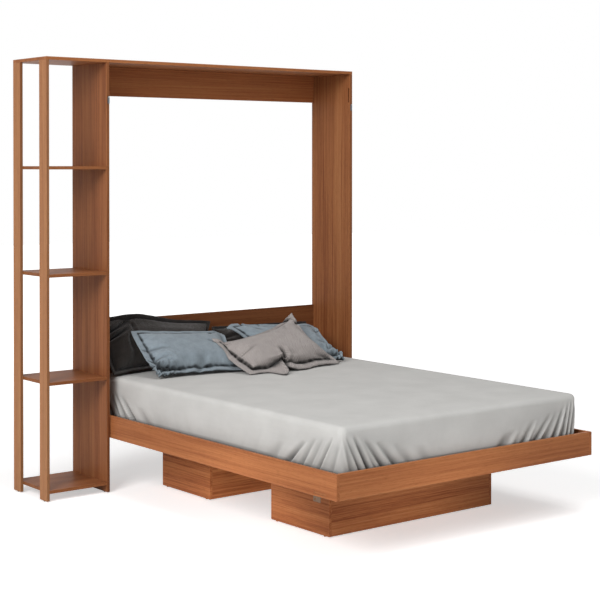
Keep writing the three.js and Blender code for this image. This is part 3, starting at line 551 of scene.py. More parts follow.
# Mattress and fitted sheet: the sheet follows the solid mattress's box. Its side draws in a little towards
# its foot, its hem goes round the lower edge in HEM_TURNS and on under the mattress, and its upper edge is
# round in EDGE_TURNS, both in degrees. TOP_RINGS are its rings of points on top, as shares of the outline.
# The points of a ring are FIRST_STEP apart at a corner, then farther and farther, and COARSE_STEP apart
# from FINE_REACH on.
CORNER_RADIUS = 0.030
CORNER_STEPS = 12
EDGE_RADIUS = 0.025
EDGE_TURNS = (15, 30, 45, 60, 75, 90)
HEM_RADIUS = 0.016
HEM_TURNS = (10, 35, 62)
HEM_TUCK = 0.028
HEM_RINGS = (1.0, 0.85)
SIDE_DRAW_IN = 0.006
SIDE_ROWS = 26
TOP_RINGS = (0.96, 0.90, 0.81, 0.69, 0.54, 0.36, 0.18)
CROWN = 0.006
SHEET_THICKNESS = 0.0009
FIRST_STEP = 0.0034
STEP_GROWTH = 0.011
FINE_REACH = 0.52
COARSE_STEP = 0.016

# The pleats of the sheet as seen in the photograph, measured from the nearest corner where they pass the
# rail's top edge: place, how far they come nearer the corner per metre of height, depth, half width. The
# lean counts over SIDE_HEIGHT, of which the rail hides RAIL_TOP_SHARE. PLEATS has one list for each half
# side, round from the left side's foot half.
RAIL_TOP_SHARE = 0.34
SIDE_HEIGHT = 0.222
PLEATS_LEFT_FACE = [(0.055, 0.40, 0.005, 0.010), (0.130, 0.64, 0.013, 0.008), (0.190, 0.70, 0.006, 0.009),
                    (0.241, 0.75, 0.011, 0.011), (0.322, 1.10, 0.018, 0.014), (0.440, 0.90, 0.006, 0.024)]
PLEATS_FOOT_LEFT = [(0.048, 0.30, 0.005, 0.009), (0.086, 0.50, 0.011, 0.007), (0.129, 0.53, 0.018, 0.009),
                    (0.168, 0.60, 0.006, 0.008), (0.204, 0.76, 0.017, 0.012), (0.270, 0.90, 0.013, 0.014),
                    (0.345, 0.85, 0.006, 0.016), (0.450, 0.70, 0.005, 0.026)]
PLEATS_FOOT_RIGHT = [(0.034, 0.18, 0.007, 0.007), (0.062, 0.23, 0.011, 0.007), (0.087, 0.26, 0.012, 0.007),
                     (0.141, 0.46, 0.011, 0.010), (0.196, 0.66, 0.004, 0.013), (0.258, 0.90, 0.010, 0.012),
                     (0.335, 0.73, 0.009, 0.013), (0.460, 0.85, 0.008, 0.024)]
PLEATS = [PLEATS_LEFT_FACE, PLEATS_FOOT_LEFT, PLEATS_FOOT_RIGHT, PLEATS_FOOT_LEFT,
          PLEATS_LEFT_FACE, PLEATS_FOOT_RIGHT, PLEATS_FOOT_LEFT, PLEATS_LEFT_FACE]

# A pleat's section is a valley, a crisp ridge on its corner side and a soft one on the other: how far each
# stands out, in depths, its place and its width, in half widths. Pleats are at full depth up to PLEAT_FULL
# and gone at PLEAT_TOP, as shares of the side's height, and those farther from the corner end lower. At
# its foot a pleat is wider and shallower. The gathers are small waves between the pleats.
PLEAT_SECTION = ((-0.85, 0.0, 1.25), (0.62, -2.0, 0.65), (0.18, 2.6, 1.6))
PLEAT_FOOT_WIDTH = 1.1
PLEAT_NARROWING = 0.3
PLEAT_FULL = 0.30
PLEAT_TOP = 1.05
PLEAT_LOWERING = 0.52
PLEAT_FARTHEST = 0.5
PLEAT_FADE = 0.6
PLEAT_FOOT_DEPTH = 0.55
PLEAT_FOOT_GROWTH = 1.5
GATHER_DEPTH = 0.0022
GATHER_TOP = 0.8
GATHER_LEAN = 0.5
GATHER_SHIFT = 0.3
GATHER_WAVES = (0.047, 0.083, 0.131)
GATHER_SEED = 5

# The shade in the pleats, in the gathers near the corners, and in the narrow gap behind the rails
PLEAT_DARK_DEPTH = 0.016
PLEAT_DARK_LOW = 1.5
PLEAT_DARK_LOSS = 6
PLEAT_DARK_LEAST = 0.4
GATHER_SHADE = 0.30
GATHER_REACH = 0.30
GATHER_FADE = 0.06
CONTACT_HEIGHT = 0.014
CONTACT_START = 0.001


def side_stops(length):
    """Places along a straight side, close together near its ends, where the pleats are."""
    reach = min(FINE_REACH, length / 2)
    count = math.ceil(math.log(1 + STEP_GROWTH * reach / FIRST_STEP) / STEP_GROWTH)
    fine = FIRST_STEP * np.expm1(STEP_GROWTH * np.arange(count + 1)) / STEP_GROWTH
    fine *= reach / fine[-1]
    middle = length - 2 * reach
    coarse = np.linspace(reach, length - reach, max(2, int(middle / COARSE_STEP) + 1))
    return np.concatenate([fine[:-1], coarse, length - fine[::-1][1:]])[:-1]


def mattress_outline(half_width, half_length):
    """Points round the mattress, its outward directions, how far each is from its nearest corner along
    the outline, and which of the eight half sides it is on. It starts at the foot's left corner."""
    arc = CORNER_RADIUS * math.pi / 2
    flat_x, flat_y = half_width - CORNER_RADIUS, half_length - CORNER_RADIUS
    corners = [(-1, -1), (1, -1), (1, 1), (-1, 1)]
    points, normals, reaches, halves = [], [], [], []
    for number, (sign_x, sign_y) in enumerate(corners):
        centre = np.array([sign_x * flat_x, sign_y * flat_y])
        start = math.atan2(sign_y, sign_x) - math.pi / 4
        for step in range(CORNER_STEPS):
            turn = start + (math.pi / 2) * step / CORNER_STEPS
            direction = np.array([math.cos(turn), math.sin(turn)])
            points.append(centre + CORNER_RADIUS * direction)
            normals.append(direction)
            reaches.append(abs(step / CORNER_STEPS - 0.5) * arc)
            halves.append(2 * number + (step >= CORNER_STEPS / 2))
        direction = np.array([math.cos(start + math.pi / 2), math.sin(start + math.pi / 2)])
        along = np.array([-direction[1], direction[0]])
        length = 2 * (flat_x if abs(direction[1]) > 0.5 else flat_y)
        for stop in side_stops(length):
            points.append(centre + CORNER_RADIUS * direction + along * stop)
            normals.append(direction)
            reaches.append(min(stop, length - stop) + arc / 2)
            halves.append((2 * number + 1) if stop < length / 2 else (2 * number + 2) % len(PLEATS))
    return tuple(np.array(values, float) for values in (points, normals, reaches, halves))


def fold_depths(reaches, halves, share):
    """How far the sheet stands out, at that share of the side's height."""
    out = np.zeros(len(reaches))
    above = (share - RAIL_TOP_SHARE) * SIDE_HEIGHT
    foot = min(1, PLEAT_FOOT_DEPTH + PLEAT_FOOT_GROWTH * share)
    narrowing = PLEAT_FOOT_WIDTH - PLEAT_NARROWING * share
    for half, pleats in enumerate(PLEATS):
        for place, lean, depth, half_width in pleats:
            off = (reaches - (place - lean * above)) / (half_width * narrowing)
            end = PLEAT_TOP - PLEAT_LOWERING * min(1, place / PLEAT_FARTHEST)
            faded = max(0, share - PLEAT_FULL) / (end - PLEAT_FULL)
            section = sum(height * hump(off - middle, width) for height, middle, width in PLEAT_SECTION)
            out += np.where(halves == half, depth * max(0, 1 - faded) ** PLEAT_FADE * foot * section, 0)
    gather = wave_along(reaches + GATHER_LEAN * above + GATHER_SHIFT * halves, GATHER_SEED, GATHER_WAVES)
    return out + GATHER_DEPTH * gather * max(0, 1 - share / GATHER_TOP)


def crown_height(x, y, half_width, half_length):
    """The mattress's height over its edge."""
    return CROWN * (1 - (x / half_width) ** 2) * (1 - (y / half_length) ** 2)


def sheet_rows(points, normals, reaches, halves, lowest, highest, half_width, half_length):
    """Rings of points from the hem under the mattress, up the sides and over the top to its middle, and the
    painted shade of each point, 0 to 1, deep in a pleat, in a gather near a corner or in the gap behind the
    rails."""
    side_top = highest - EDGE_RADIUS
    rail_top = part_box("bed_left_rail")[1].z
    everywhere = np.ones(len(points))
    rows, folds = [], []

    def ring(inset, z, bulge=0.0):
        place = points - normals * (inset * everywhere - bulge)[:, None]
        top = 0
        if z > (lowest + highest) / 2:
            top = crown_height(place[:, 0], place[:, 1], half_width, half_length)
        rows.append(np.column_stack([place, z * everywhere + top]))
        # Painted shade for the cloth: a contact shadow at the rails' top, and shade down in the pleats and
        # in the gathers near the corners
        painted_contact_shade = np.clip((rail_top + CONTACT_START - z) / CONTACT_HEIGHT, 0, 1)
        gathered = GATHER_SHADE * hump(reaches, GATHER_REACH) * np.clip((side_top - z) / GATHER_FADE, 0, 1)
        darkness = np.clip(PLEAT_DARK_LOW - PLEAT_DARK_LOSS * (z - rail_top), PLEAT_DARK_LEAST, 1)
        deep = np.clip(gathered - bulge / PLEAT_DARK_DEPTH, 0, 1) * darkness
        folds.append(np.maximum(deep, painted_contact_shade))

    for share in HEM_RINGS:
        ring(share * HEM_TUCK, lowest)
    bottom_folds = fold_depths(reaches, halves, 0.0)
    for turn in np.radians(HEM_TURNS):
        inset = HEM_RADIUS * (1 - math.sin(turn)) + SIDE_DRAW_IN
        ring(inset, lowest + HEM_RADIUS * (1 - math.cos(turn)), bottom_folds * math.sin(turn))
    for step in range(SIDE_ROWS + 1):
        share = step / SIDE_ROWS
        z = lowest + HEM_RADIUS + share * (side_top - lowest - HEM_RADIUS)
        ring(SIDE_DRAW_IN * (1 - share) ** 2, z, fold_depths(reaches, halves, share))
    for turn in np.radians(EDGE_TURNS):
        ring(EDGE_RADIUS * (1 - math.cos(turn)), side_top + EDGE_RADIUS * math.sin(turn))
    edge = rows[-1][:, :2]
    for share in TOP_RINGS:
        place = edge * share
        top = crown_height(place[:, 0], place[:, 1], half_width, half_length)
        rows.append(np.column_stack([place, highest + top]))
        folds.append(np.zeros(len(points)))
    return rows, folds


def mattress_sizes():
    low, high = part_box("mattress")
    return low, high, (low + high) / 2, (high.x - low.x) / 2, (high.y - low.y) / 2


def make_fitted_sheet(material):
    low, high, middle, half_width, half_length = mattress_sizes()
    outline = mattress_outline(half_width, half_length)
    rows, folds = sheet_rows(*outline, low.z, high.z - CROWN, half_width, half_length)
    vertices = np.concatenate(rows + [[[0, 0, high.z]]])
    vertices[:, 0] += middle.x
    vertices[:, 1] += middle.y
    count = len(outline[0])
    last, centre = (len(rows) - 1) * count, len(rows) * count
    faces = []
    for start in range(0, last, count):
        for column in range(count):
            here, following = start + column, start + (column + 1) % count
            faces.append((here, following, following + count, here + count))
    faces += [(last + column, last + (column + 1) % count, centre) for column in range(count)]
    sheet = mesh_object("fitted_sheet", vertices, faces, material)
    set_painted_shade(sheet, np.concatenate(folds + [[0.0]]))
    smooth(sheet)
    apply_modifier(sheet, "SOLIDIFY", thickness=SHEET_THICKNESS, offset=-1)
    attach(sheet, "bed")
    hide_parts("mattress")


# The mattress in its own cover, inside the sheet
CORE_INSET = 0.026
CORE_GAP_BELOW = 0.002
CORE_GAP_ABOVE = 0.003
CORE_ROUNDING = 0.026
CORE_ROUNDING_STEPS = 5


def make_mattress_core(material):
    """A slab with rounded edges."""
    low, high, middle, half_width, half_length = mattress_sizes()
    bottom, top = low.z + CORE_GAP_BELOW, high.z - CROWN - CORE_GAP_ABOVE
    bpy.ops.mesh.primitive_cube_add(size=1, location=(middle.x, middle.y, (bottom + top) / 2))
    core = bpy.context.active_object
    core.name = "mattress_core"
    core.scale = (2 * (half_width - CORE_INSET), 2 * (half_length - CORE_INSET), top - bottom)
    bpy.ops.object.transform_apply(location=True, rotation=True, scale=True)
    bpy.ops.object.mode_set(mode="EDIT")
    bpy.ops.mesh.select_all(action="SELECT")
    bpy.ops.mesh.bevel(offset=CORE_ROUNDING, segments=CORE_ROUNDING_STEPS, affect="EDGES")
    bpy.ops.object.mode_set(mode="OBJECT")
    core.data.materials.append(material)
    smooth(core)
    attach(core, "bed")
    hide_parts("mattress")


# Pillows. size is width, height and thickness over the flange, and corners are where its top left, top
# right, bottom left and bottom right ones lie, in metres. Bows are how far the top, right, bottom and left
# edge stands out (+) or is drawn in (-) at its middle, tilts how far forward its flange bends, and seams
# how deep the shade in its seam is. back is the share of the thickness behind the flange. Places on a
# pillow are shares of its half width and half height. A crease has a start, an end, a depth and a half
# width. A nudge moves what is round a place by so much in space. A ruffle is a bunched corner.
PILLOWS = [
    {"name": "charcoal_pillow_left", "cloth": "charcoal", "size": (0.670, 0.330, 0.120), "flange": 0.022,
     "back": 0.8, "corners": ((-0.520, 0.957, 0.800), (0.185, 0.960, 0.744),
                              (-0.535, 0.745, 0.549), (0.090, 0.880, 0.549)),
     "bows": (0.018, 0.0, 0.004, 0.0), "tilts": (0.008, 0.0, 0.006, 0.0), "seams": (0.8, 0.4, 0.6, 0.5),
     "creases": [((-0.84, 0.42), (-0.30, 1.0), 0.034, 0.012),
                 ((-0.86, 0.16), (-0.42, 0.66), 0.026, 0.010),
                 ((-0.56, 0.15), (-0.60, -0.72), 0.014, 0.012),
                 ((-0.44, 0.62), (-0.46, 0.10), 0.010, 0.010)],
     "nudges": [((-0.30, 1.0), (0.40, 0.35), (0, 0, 0.028))],
     "ruffles": []},
    {"name": "charcoal_pillow_right", "cloth": "charcoal", "size": (0.650, 0.300, 0.085), "flange": 0.022,
     "back": 0.4, "corners": ((0.171, 0.932, 0.717), (0.800, 0.930, 0.704),
                              (0.165, 0.850, 0.549), (0.800, 0.830, 0.549)),
     "bows": (0.014, 0.0, 0.0, 0.0), "tilts": (0.006, 0.0, 0.0, 0.0), "seams": (0.6, 0.4, 0.4, 0.6),
     "creases": [((-0.9, 0.2), (-0.3, 0.5), 0.010, 0.014)],
     "nudges": [],
     "ruffles": []},
    {"name": "blue_pillow_left", "cloth": "blue", "size": (0.540, 0.380, 0.120), "flange": 0.032,
     "back": 0.35, "corners": ((-0.404, 0.793, 0.752), (0.146, 0.787, 0.712),
                               (-0.405, 0.546, 0.549), (0.065, 0.478, 0.549)),
     "bows": (0.004, -0.014, -0.010, 0.018), "tilts": (0.0, 0.006, 0.0, -0.004),
     "seams": (1.6, 0.35, 1.0, 1.1),
     "creases": [((-0.06, -1.02), (0.20, -0.40), 0.020, 0.020),
                 ((-0.98, -0.62), (-0.34, -0.92), 0.046, 0.010),
                 ((-0.94, 0.12), (-0.50, -0.20), 0.010, 0.012),
                 ((-0.96, -0.34), (-0.66, -0.52), 0.012, 0.010),
                 ((0.80, 0.92), (0.50, 0.55), 0.010, 0.012),
                 ((0.40, 0.10), (0.86, -0.20), 0.008, 0.010)],
     "nudges": [((1.0, 1.0), (0.14, 0.20), (-0.012, -0.004, -0.018))],
     "ruffles": [((-1, -1), 0.038)]},
    {"name": "blue_pillow_right", "cloth": "blue", "size": (0.540, 0.380, 0.110), "flange": 0.032,
     "back": 0.35, "corners": ((0.199, 0.868, 0.736), (0.755, 0.774, 0.706),
                               (0.235, 0.540, 0.549), (0.692, 0.462, 0.549)),
     "bows": (0.008, -0.026, 0.0, -0.045), "tilts": (0.0, 0.004, 0.0, 0.0), "seams": (0.9, 0.4, 0.8, 1.0),
     "creases": [((-0.66, 1.0), (-0.50, 0.30), 0.022, 0.010),
                 ((0.98, -0.55), (0.52, -0.30), 0.024, 0.010),
                 ((0.98, 0.55), (0.62, 0.20), 0.010, 0.010),
                 ((-0.30, 0.95), (-0.20, 0.45), 0.008, 0.010)],
     "nudges": [((1.0, 1.0), (0.16, 0.20), (-0.018, 0.0, -0.016)),
                ((-1.0, 1.0), (0.12, 0.16), (0.020, 0.0, -0.022))],
     "ruffles": [((1, -1), 0.036)]},
    {"name": "grey_pillow", "cloth": "grey", "size": (0.560, 0.390, 0.130), "flange": 0.034,
     "back": 0.35, "corners": ((-0.026, 0.650, 0.664), (0.497, 0.660, 0.795),
                               (0.010, 0.358, 0.549), (0.612, 0.400, 0.549)),
     "bows": (-0.052, -0.036, 0.010, 0.014), "tilts": (0.004, 0.0, -0.004, -0.006),
     "seams": (0.3, 0.4, 1.5, 1.4),
     "creases": [((-0.20, -1.05), (-0.12, -0.30), 0.056, 0.011),
                 ((0.83, 0.84), (0.46, 1.12), 0.050, 0.008),
                 ((0.82, 0.86), (1.12, 0.42), 0.044, 0.008),
                 ((-0.16, -0.76), (-0.72, -0.80), 0.040, 0.008),
                 ((-0.18, -0.74), (0.40, -0.84), 0.034, 0.008),
                 ((-0.92, 0.78), (-0.50, 0.50), 0.014, 0.008),
                 ((0.90, -0.84), (0.50, -0.66), 0.018, 0.008),
                 ((0.55, 0.70), (0.30, 0.20), 0.005, 0.014),
                 ((-0.80, -0.20), (-0.45, -0.05), 0.006, 0.010)],
     "nudges": [((-0.19, -1.0), (0.045, 0.26), (0.0, 0.050, 0.032)),
                ((-0.34, -1.0), (0.17, 0.15), (-0.08, -0.14, 0)),
                ((-0.28, -0.80), (0.18, 0.10), (0, 0.010, 0.020)),
                ((0.06, -1.0), (0.26, 0.15), (0, -0.050, 0))],
     "ruffles": []},
]

# The grid of a pillow, and how its body is blown up: the cloth moves by CLOTH_CAP at most, and starts from
# a slim lens that is START_SHARE of the full thickness
BODY_CELL = 0.0062
FLANGE_CELLS = 5
BLOWN_CELL = 0.0135
SMOOTHINGS = 3
START_SHARE = 0.30
START_ROUNDNESS = 0.9
START_UNEVENNESS = 0.0004
CLOTH_FRAMES = 20
CLOTH_CAP = 0.045
CLOTH_SETTINGS = {
    "use_pressure": True,
    "uniform_pressure_force": 5.0,
    "quality": 7,
    "mass": 0.25,
    "tension_stiffness": 22,
    "compression_stiffness": 12,
    "shear_stiffness": 8,
    "bending_stiffness": 0.08,
}


def grid_stops(size, flange):
    """Flat places across a pillow, flange and body, and the first and last index of the body."""
    cells = round((size - 2 * flange) / BODY_CELL)
    rim = np.linspace(0, flange, FLANGE_CELLS + 1)
    stops = np.concatenate([rim[:-1], np.linspace(flange, size - flange, cells + 1), size - rim[::-1][1:]])
    return stops - size / 2, FLANGE_CELLS, FLANGE_CELLS + cells


def refined(panel, coarse_x, coarse_z, fine_x, fine_z):
    """The panel on a finer grid, smoothed so that the coarse one doesn't show."""
    rows = np.array([[np.interp(fine_x, coarse_x, row[:, axis]) for axis in range(3)] for row in panel])
    fine = np.empty((len(fine_z), len(fine_x), 3))
    for axis in range(3):
        for column in range(len(fine_x)):
            fine[:, column, axis] = np.interp(fine_z, coarse_z, rows[:, axis, column])
    for _ in range(SMOOTHINGS):
        fine[1:-1] = (fine[:-2] + 2 * fine[1:-1] + fine[2:]) / 4
        fine[:, 1:-1] = (fine[:, :-2] + 2 * fine[:, 1:-1] + fine[:, 2:]) / 4
    return fine


def panel_faces(front, back):
    """Square faces of two grids of vertex numbers, of which the back one faces the other way."""
    faces = []
    for row in range(front.shape[0] - 1):
        for column in range(front.shape[1] - 1):
            around = [(row, column), (row, column + 1), (row + 1, column + 1), (row + 1, column)]
            faces.append([int(front[place]) for place in around])
            faces.append([int(back[place]) for place in reversed(around)])
    return faces


def simulate(start, faces):
    """Blows up a closed cloth by a steady inner pressure, without gravity."""
    blown = mesh_object("blown_cloth", start, faces, bpy.data.materials["cotton_percale_ticking"])
    modifier = blown.modifiers.new("cloth", "CLOTH")
    for name, value in CLOTH_SETTINGS.items():
        setattr(modifier.settings, name, value)
    modifier.settings.effector_weights.gravity = 0
    modifier.collision_settings.use_collision = False
    modifier.point_cache.frame_start = 1
    modifier.point_cache.frame_end = CLOTH_FRAMES
    for number in range(1, CLOTH_FRAMES + 1):
        scene.frame_set(number)
    evaluated = blown.evaluated_get(bpy.context.evaluated_depsgraph_get())
    moved = np.zeros(len(start) * 3)
    evaluated.data.vertices.foreach_get("co", moved)
    bpy.data.objects.remove(blown)
    scene.frame_set(1)
    step = moved.reshape(-1, 3) - start
    length = np.linalg.norm(step, axis=1, keepdims=True)
    return start + step * np.minimum(1, CLOTH_CAP / np.maximum(length, 1e-9))


def blown_up(x, z, thickness, seed):
    """The two panels of the pillow's body, sewn round their edge and blown up by a cloth simulation:
    front and back points, on the grid of x and z."""
    grid_x, grid_z = np.meshgrid(x, z)
    edge_x = np.clip(1 - (2 * grid_x / (x[-1] - x[0])) ** 2, 0, 1)
    edge_z = np.clip(1 - (2 * grid_z / (z[-1] - z[0])) ** 2, 0, 1)
    share = START_SHARE
    depth = share * thickness / 2 * np.sqrt(edge_x) ** START_ROUNDNESS * np.sqrt(edge_z) ** START_ROUNDNESS
    front = np.stack([grid_x, -depth, grid_z], axis=-1)
    back = np.stack([grid_x, depth, grid_z], axis=-1)
    number = np.arange(depth.size).reshape(depth.shape)
    inner = np.zeros(depth.shape, bool)
    inner[1:-1, 1:-1] = True
    back_number = number.copy()
    back_number[inner] = depth.size + np.arange(inner.sum())
    start = np.concatenate([front.reshape(-1, 3), back[inner]])
    start = start + np.random.default_rng(seed).normal(0, START_UNEVENNESS, start.shape)
    moved = simulate(start, panel_faces(number, back_number))
    front_moved = moved[number]
    back_moved = moved[back_number]
    swollen = (back_moved[..., 1] - front_moved[..., 1]).max()
    for panel in (front_moved, back_moved):
        panel[..., 1] *= thickness / swollen
        panel[..., 0] *= (x[-1] - x[0]) / np.ptp(front_moved[..., 0])
        panel[..., 2] *= (z[-1] - z[0]) / np.ptp(front_moved[..., 2])
    return front_moved, back_moved


def body_panels(x, z, thickness, seed):
    """Front and back of the pillow's body on the grid of x and z."""
    coarse_x = np.linspace(x[0], x[-1], round((x[-1] - x[0]) / BLOWN_CELL) + 1)
    coarse_z = np.linspace(z[0], z[-1], round((z[-1] - z[0]) / BLOWN_CELL) + 1)
    panels = blown_up(coarse_x, coarse_z, thickness, seed)
    return [refined(panel, coarse_x, coarse_z, x, z) for panel in panels]


# The flange's waves, and the pleats that fan out from a bunched corner: so many to the half turn, each bent
# to and fro on its way out
FLANGE_WAVE_DEPTH = 0.0016
FLANGE_WAVES_RISING = (0.11, 0.17, 0.061)
FLANGE_WAVES_FALLING = (0.13, 0.21)
RUFFLE_PLEATS = 5.5
RUFFLE_BEND = 1.5
RUFFLE_BENDS_PER_METRE = 90
RUFFLE_SHARPNESS = 0.6
RUFFLE_REACH = 0.10
RUFFLE_START = 0.02


def flange_wave(u, v, x, z, pillow, seed):
    """How far the flange stands off the pillow's plane: soft waves, and tight ones at a ruffled corner."""
    wave = wave_along(x + z, seed, FLANGE_WAVES_RISING) + wave_along(x - z, seed + 1, FLANGE_WAVES_FALLING)
    return FLANGE_WAVE_DEPTH * wave + ruffle_wave(u, v, pillow, seed)


def ruffle_wave(u, v, pillow, seed):
    """Tight pleats that fan out from a bunched corner, with sharp valleys between round ridges."""
    width, height = pillow["size"][:2]
    wave = np.zeros_like(u)
    for (corner_u, corner_v), depth in pillow["ruffles"]:
        away_x, away_z = (u - corner_u) * width / 2, (v - corner_v) * height / 2
        away = np.hypot(away_x, away_z)
        angle = np.arctan2(away_z * -corner_v, away_x * -corner_u)
        bend = RUFFLE_BEND * np.sin(away * RUFFLE_BENDS_PER_METRE + seed)
        pleat = 1 - 2 * np.abs(np.sin(RUFFLE_PLEATS * angle + bend + seed)) ** RUFFLE_SHARPNESS
        wave += depth * hump(away, RUFFLE_REACH) * pleat * np.clip(away / RUFFLE_START, 0, 1)
    return wave


# Creases: their lines waver and widen towards their end, and each lies between two raised lips. Only a
# narrow, deep one has painted shade inside.
PUCKER_DEPTH = 0.0022
PUCKER_REACH = 0.024
PUCKER_WAVES = (0.021, 0.029, 0.043)
CREASE_WAVER = 0.004
CREASE_WAVERS = 5
CREASE_START_WIDTH = 0.7
CREASE_WIDENING = 0.8
CREASE_FADE = 0.8
CREASE_START = 0.15
LIP_HEIGHT = 0.35
LIP_PLACE = 2.1
LIP_WIDTH = 0.9
DARK_CREASE_WIDTH = 0.011
DARK_CREASE_DEPTH = 0.022
DARK_CREASE_MOST = 1.6
DARK_CREASE_SHARE = 0.80


def puckers(reach, along, seed):
    """The short gathers that the seam draws in the body, and how deep they are there."""
    return PUCKER_DEPTH * wave_along(along, seed, PUCKER_WAVES) * np.exp(-reach / PUCKER_REACH)


def crease_depth(u, v, width, height, creases):
    """Sunken lines in the pillow's face, each between two raised lips, which fade at their end."""
    total = np.zeros_like(u)
    for start, end, depth, half_width in creases:
        first = np.array(start) * (width / 2, height / 2)
        line = np.array(end) * (width / 2, height / 2) - first
        px, pz = u * width / 2 - first[0], v * height / 2 - first[1]
        along = (px * line[0] + pz * line[1]) / (line @ line)
        across = (px * line[1] - pz * line[0]) / np.linalg.norm(line)
        off = across - CREASE_WAVER * np.sin(along * CREASE_WAVERS)
        off /= half_width * (CREASE_START_WIDTH + CREASE_WIDENING * along.clip(0, 1))
        fade = np.clip(1 - along, 0, 1) ** CREASE_FADE * np.clip(1 + along / CREASE_START, 0, 1)
        total += depth * fade * (hump(off, 1) - LIP_HEIGHT * hump(np.abs(off) - LIP_PLACE, LIP_WIDTH))
    return total


def crease_shade(u, v, width, height, creases):
    """How much painted shade there is down in the creases, 0 to 1."""
    lines = []
    for start, end, depth, half_width in creases:
        narrow = min(1.0, DARK_CREASE_WIDTH / half_width) ** 2
        dark = narrow * min(DARK_CREASE_MOST, depth / DARK_CREASE_DEPTH)
        lines.append((start, end, dark, DARK_CREASE_SHARE * half_width))
    return np.clip(crease_depth(u, v, width, height, lines), 0, 1)


# The seam between body and flange: the shade in it is broken up along its length, and lies on the body's
# side of it, but on the flange's at the top, where the body hides its foot
SIDE_SHARPNESS = 6
SEAM_SHADE_IN = 0.0020
SEAM_SHADE_OUT = -0.0035
SEAM_END_WIDTH = 0.0075
SEAM_SIDE_WIDTH = 0.0060
SEAM_START = -0.004
SEAM_MEAN = 0.70
SEAM_UNEVENNESS = 0.45
SEAM_WAVES = (0.21, 0.34, 0.55)
SEAM_WAVE_TURN = (1.7, 1.3)
SEAM_SEED = 11
OVERHANG = 0.006
OVERHANG_REACH = 0.010


def flange_tilt(u, v, tilts):
    """How far forward the flange bends at its outer edge: top, right, bottom and left."""
    return sum(tilt * np.clip(side, 0, 1) ** SIDE_SHARPNESS for tilt, side in zip(tilts, (v, u, -v, -u)))


def seam_shade(from_side, from_end, u, v, seams):
    """How much painted shade there is in the seam, from the distances to it, which are negative on the
    flange.
    """
    top, right, bottom, left = seams
    turned = SEAM_WAVE_TURN[0] * u + SEAM_WAVE_TURN[1] * v
    broken = SEAM_MEAN + SEAM_UNEVENNESS * wave_along(turned, SEAM_SEED, SEAM_WAVES)
    middle = np.where(v > 0, SEAM_SHADE_OUT, SEAM_SHADE_IN)
    ends = broken * np.where(v > 0, top, bottom) * hump(from_end - middle, SEAM_END_WIDTH)
    sides = broken * np.where(u > 0, right, left) * hump(from_side - SEAM_SHADE_IN, SEAM_SIDE_WIDTH)
    return np.maximum(np.where(from_side > SEAM_START, ends, 0), np.where(from_end > SEAM_START, sides, 0))


def overhang(reach):
    """How far the body stands out over its seam, at a distance from it."""
    share = np.clip(reach, 0, None) / OVERHANG_REACH
    return OVERHANG * share * np.exp(1 - share)


# The whole pillow: how thick its flange and hem are, how much of the cloth's drawing in it keeps, how full
# it is and how it sags, and how its creases and bunches sink in and take painted shade
FLANGE_THICKNESS = 0.0034
HEM_THICKNESS = 0.0060
HEM_WIDTH = 0.011
DRAW_IN_SHARE = 0.25
FULLNESS = 0.70
SAG = 0.22
TOP_SLIMNESS = 0.32
NEAR_SEAM = 0.024
SEAM_SINKING = 0.5
DEEPEST_DENT = 0.85
DARK_BUNCH_DEPTH = 0.022


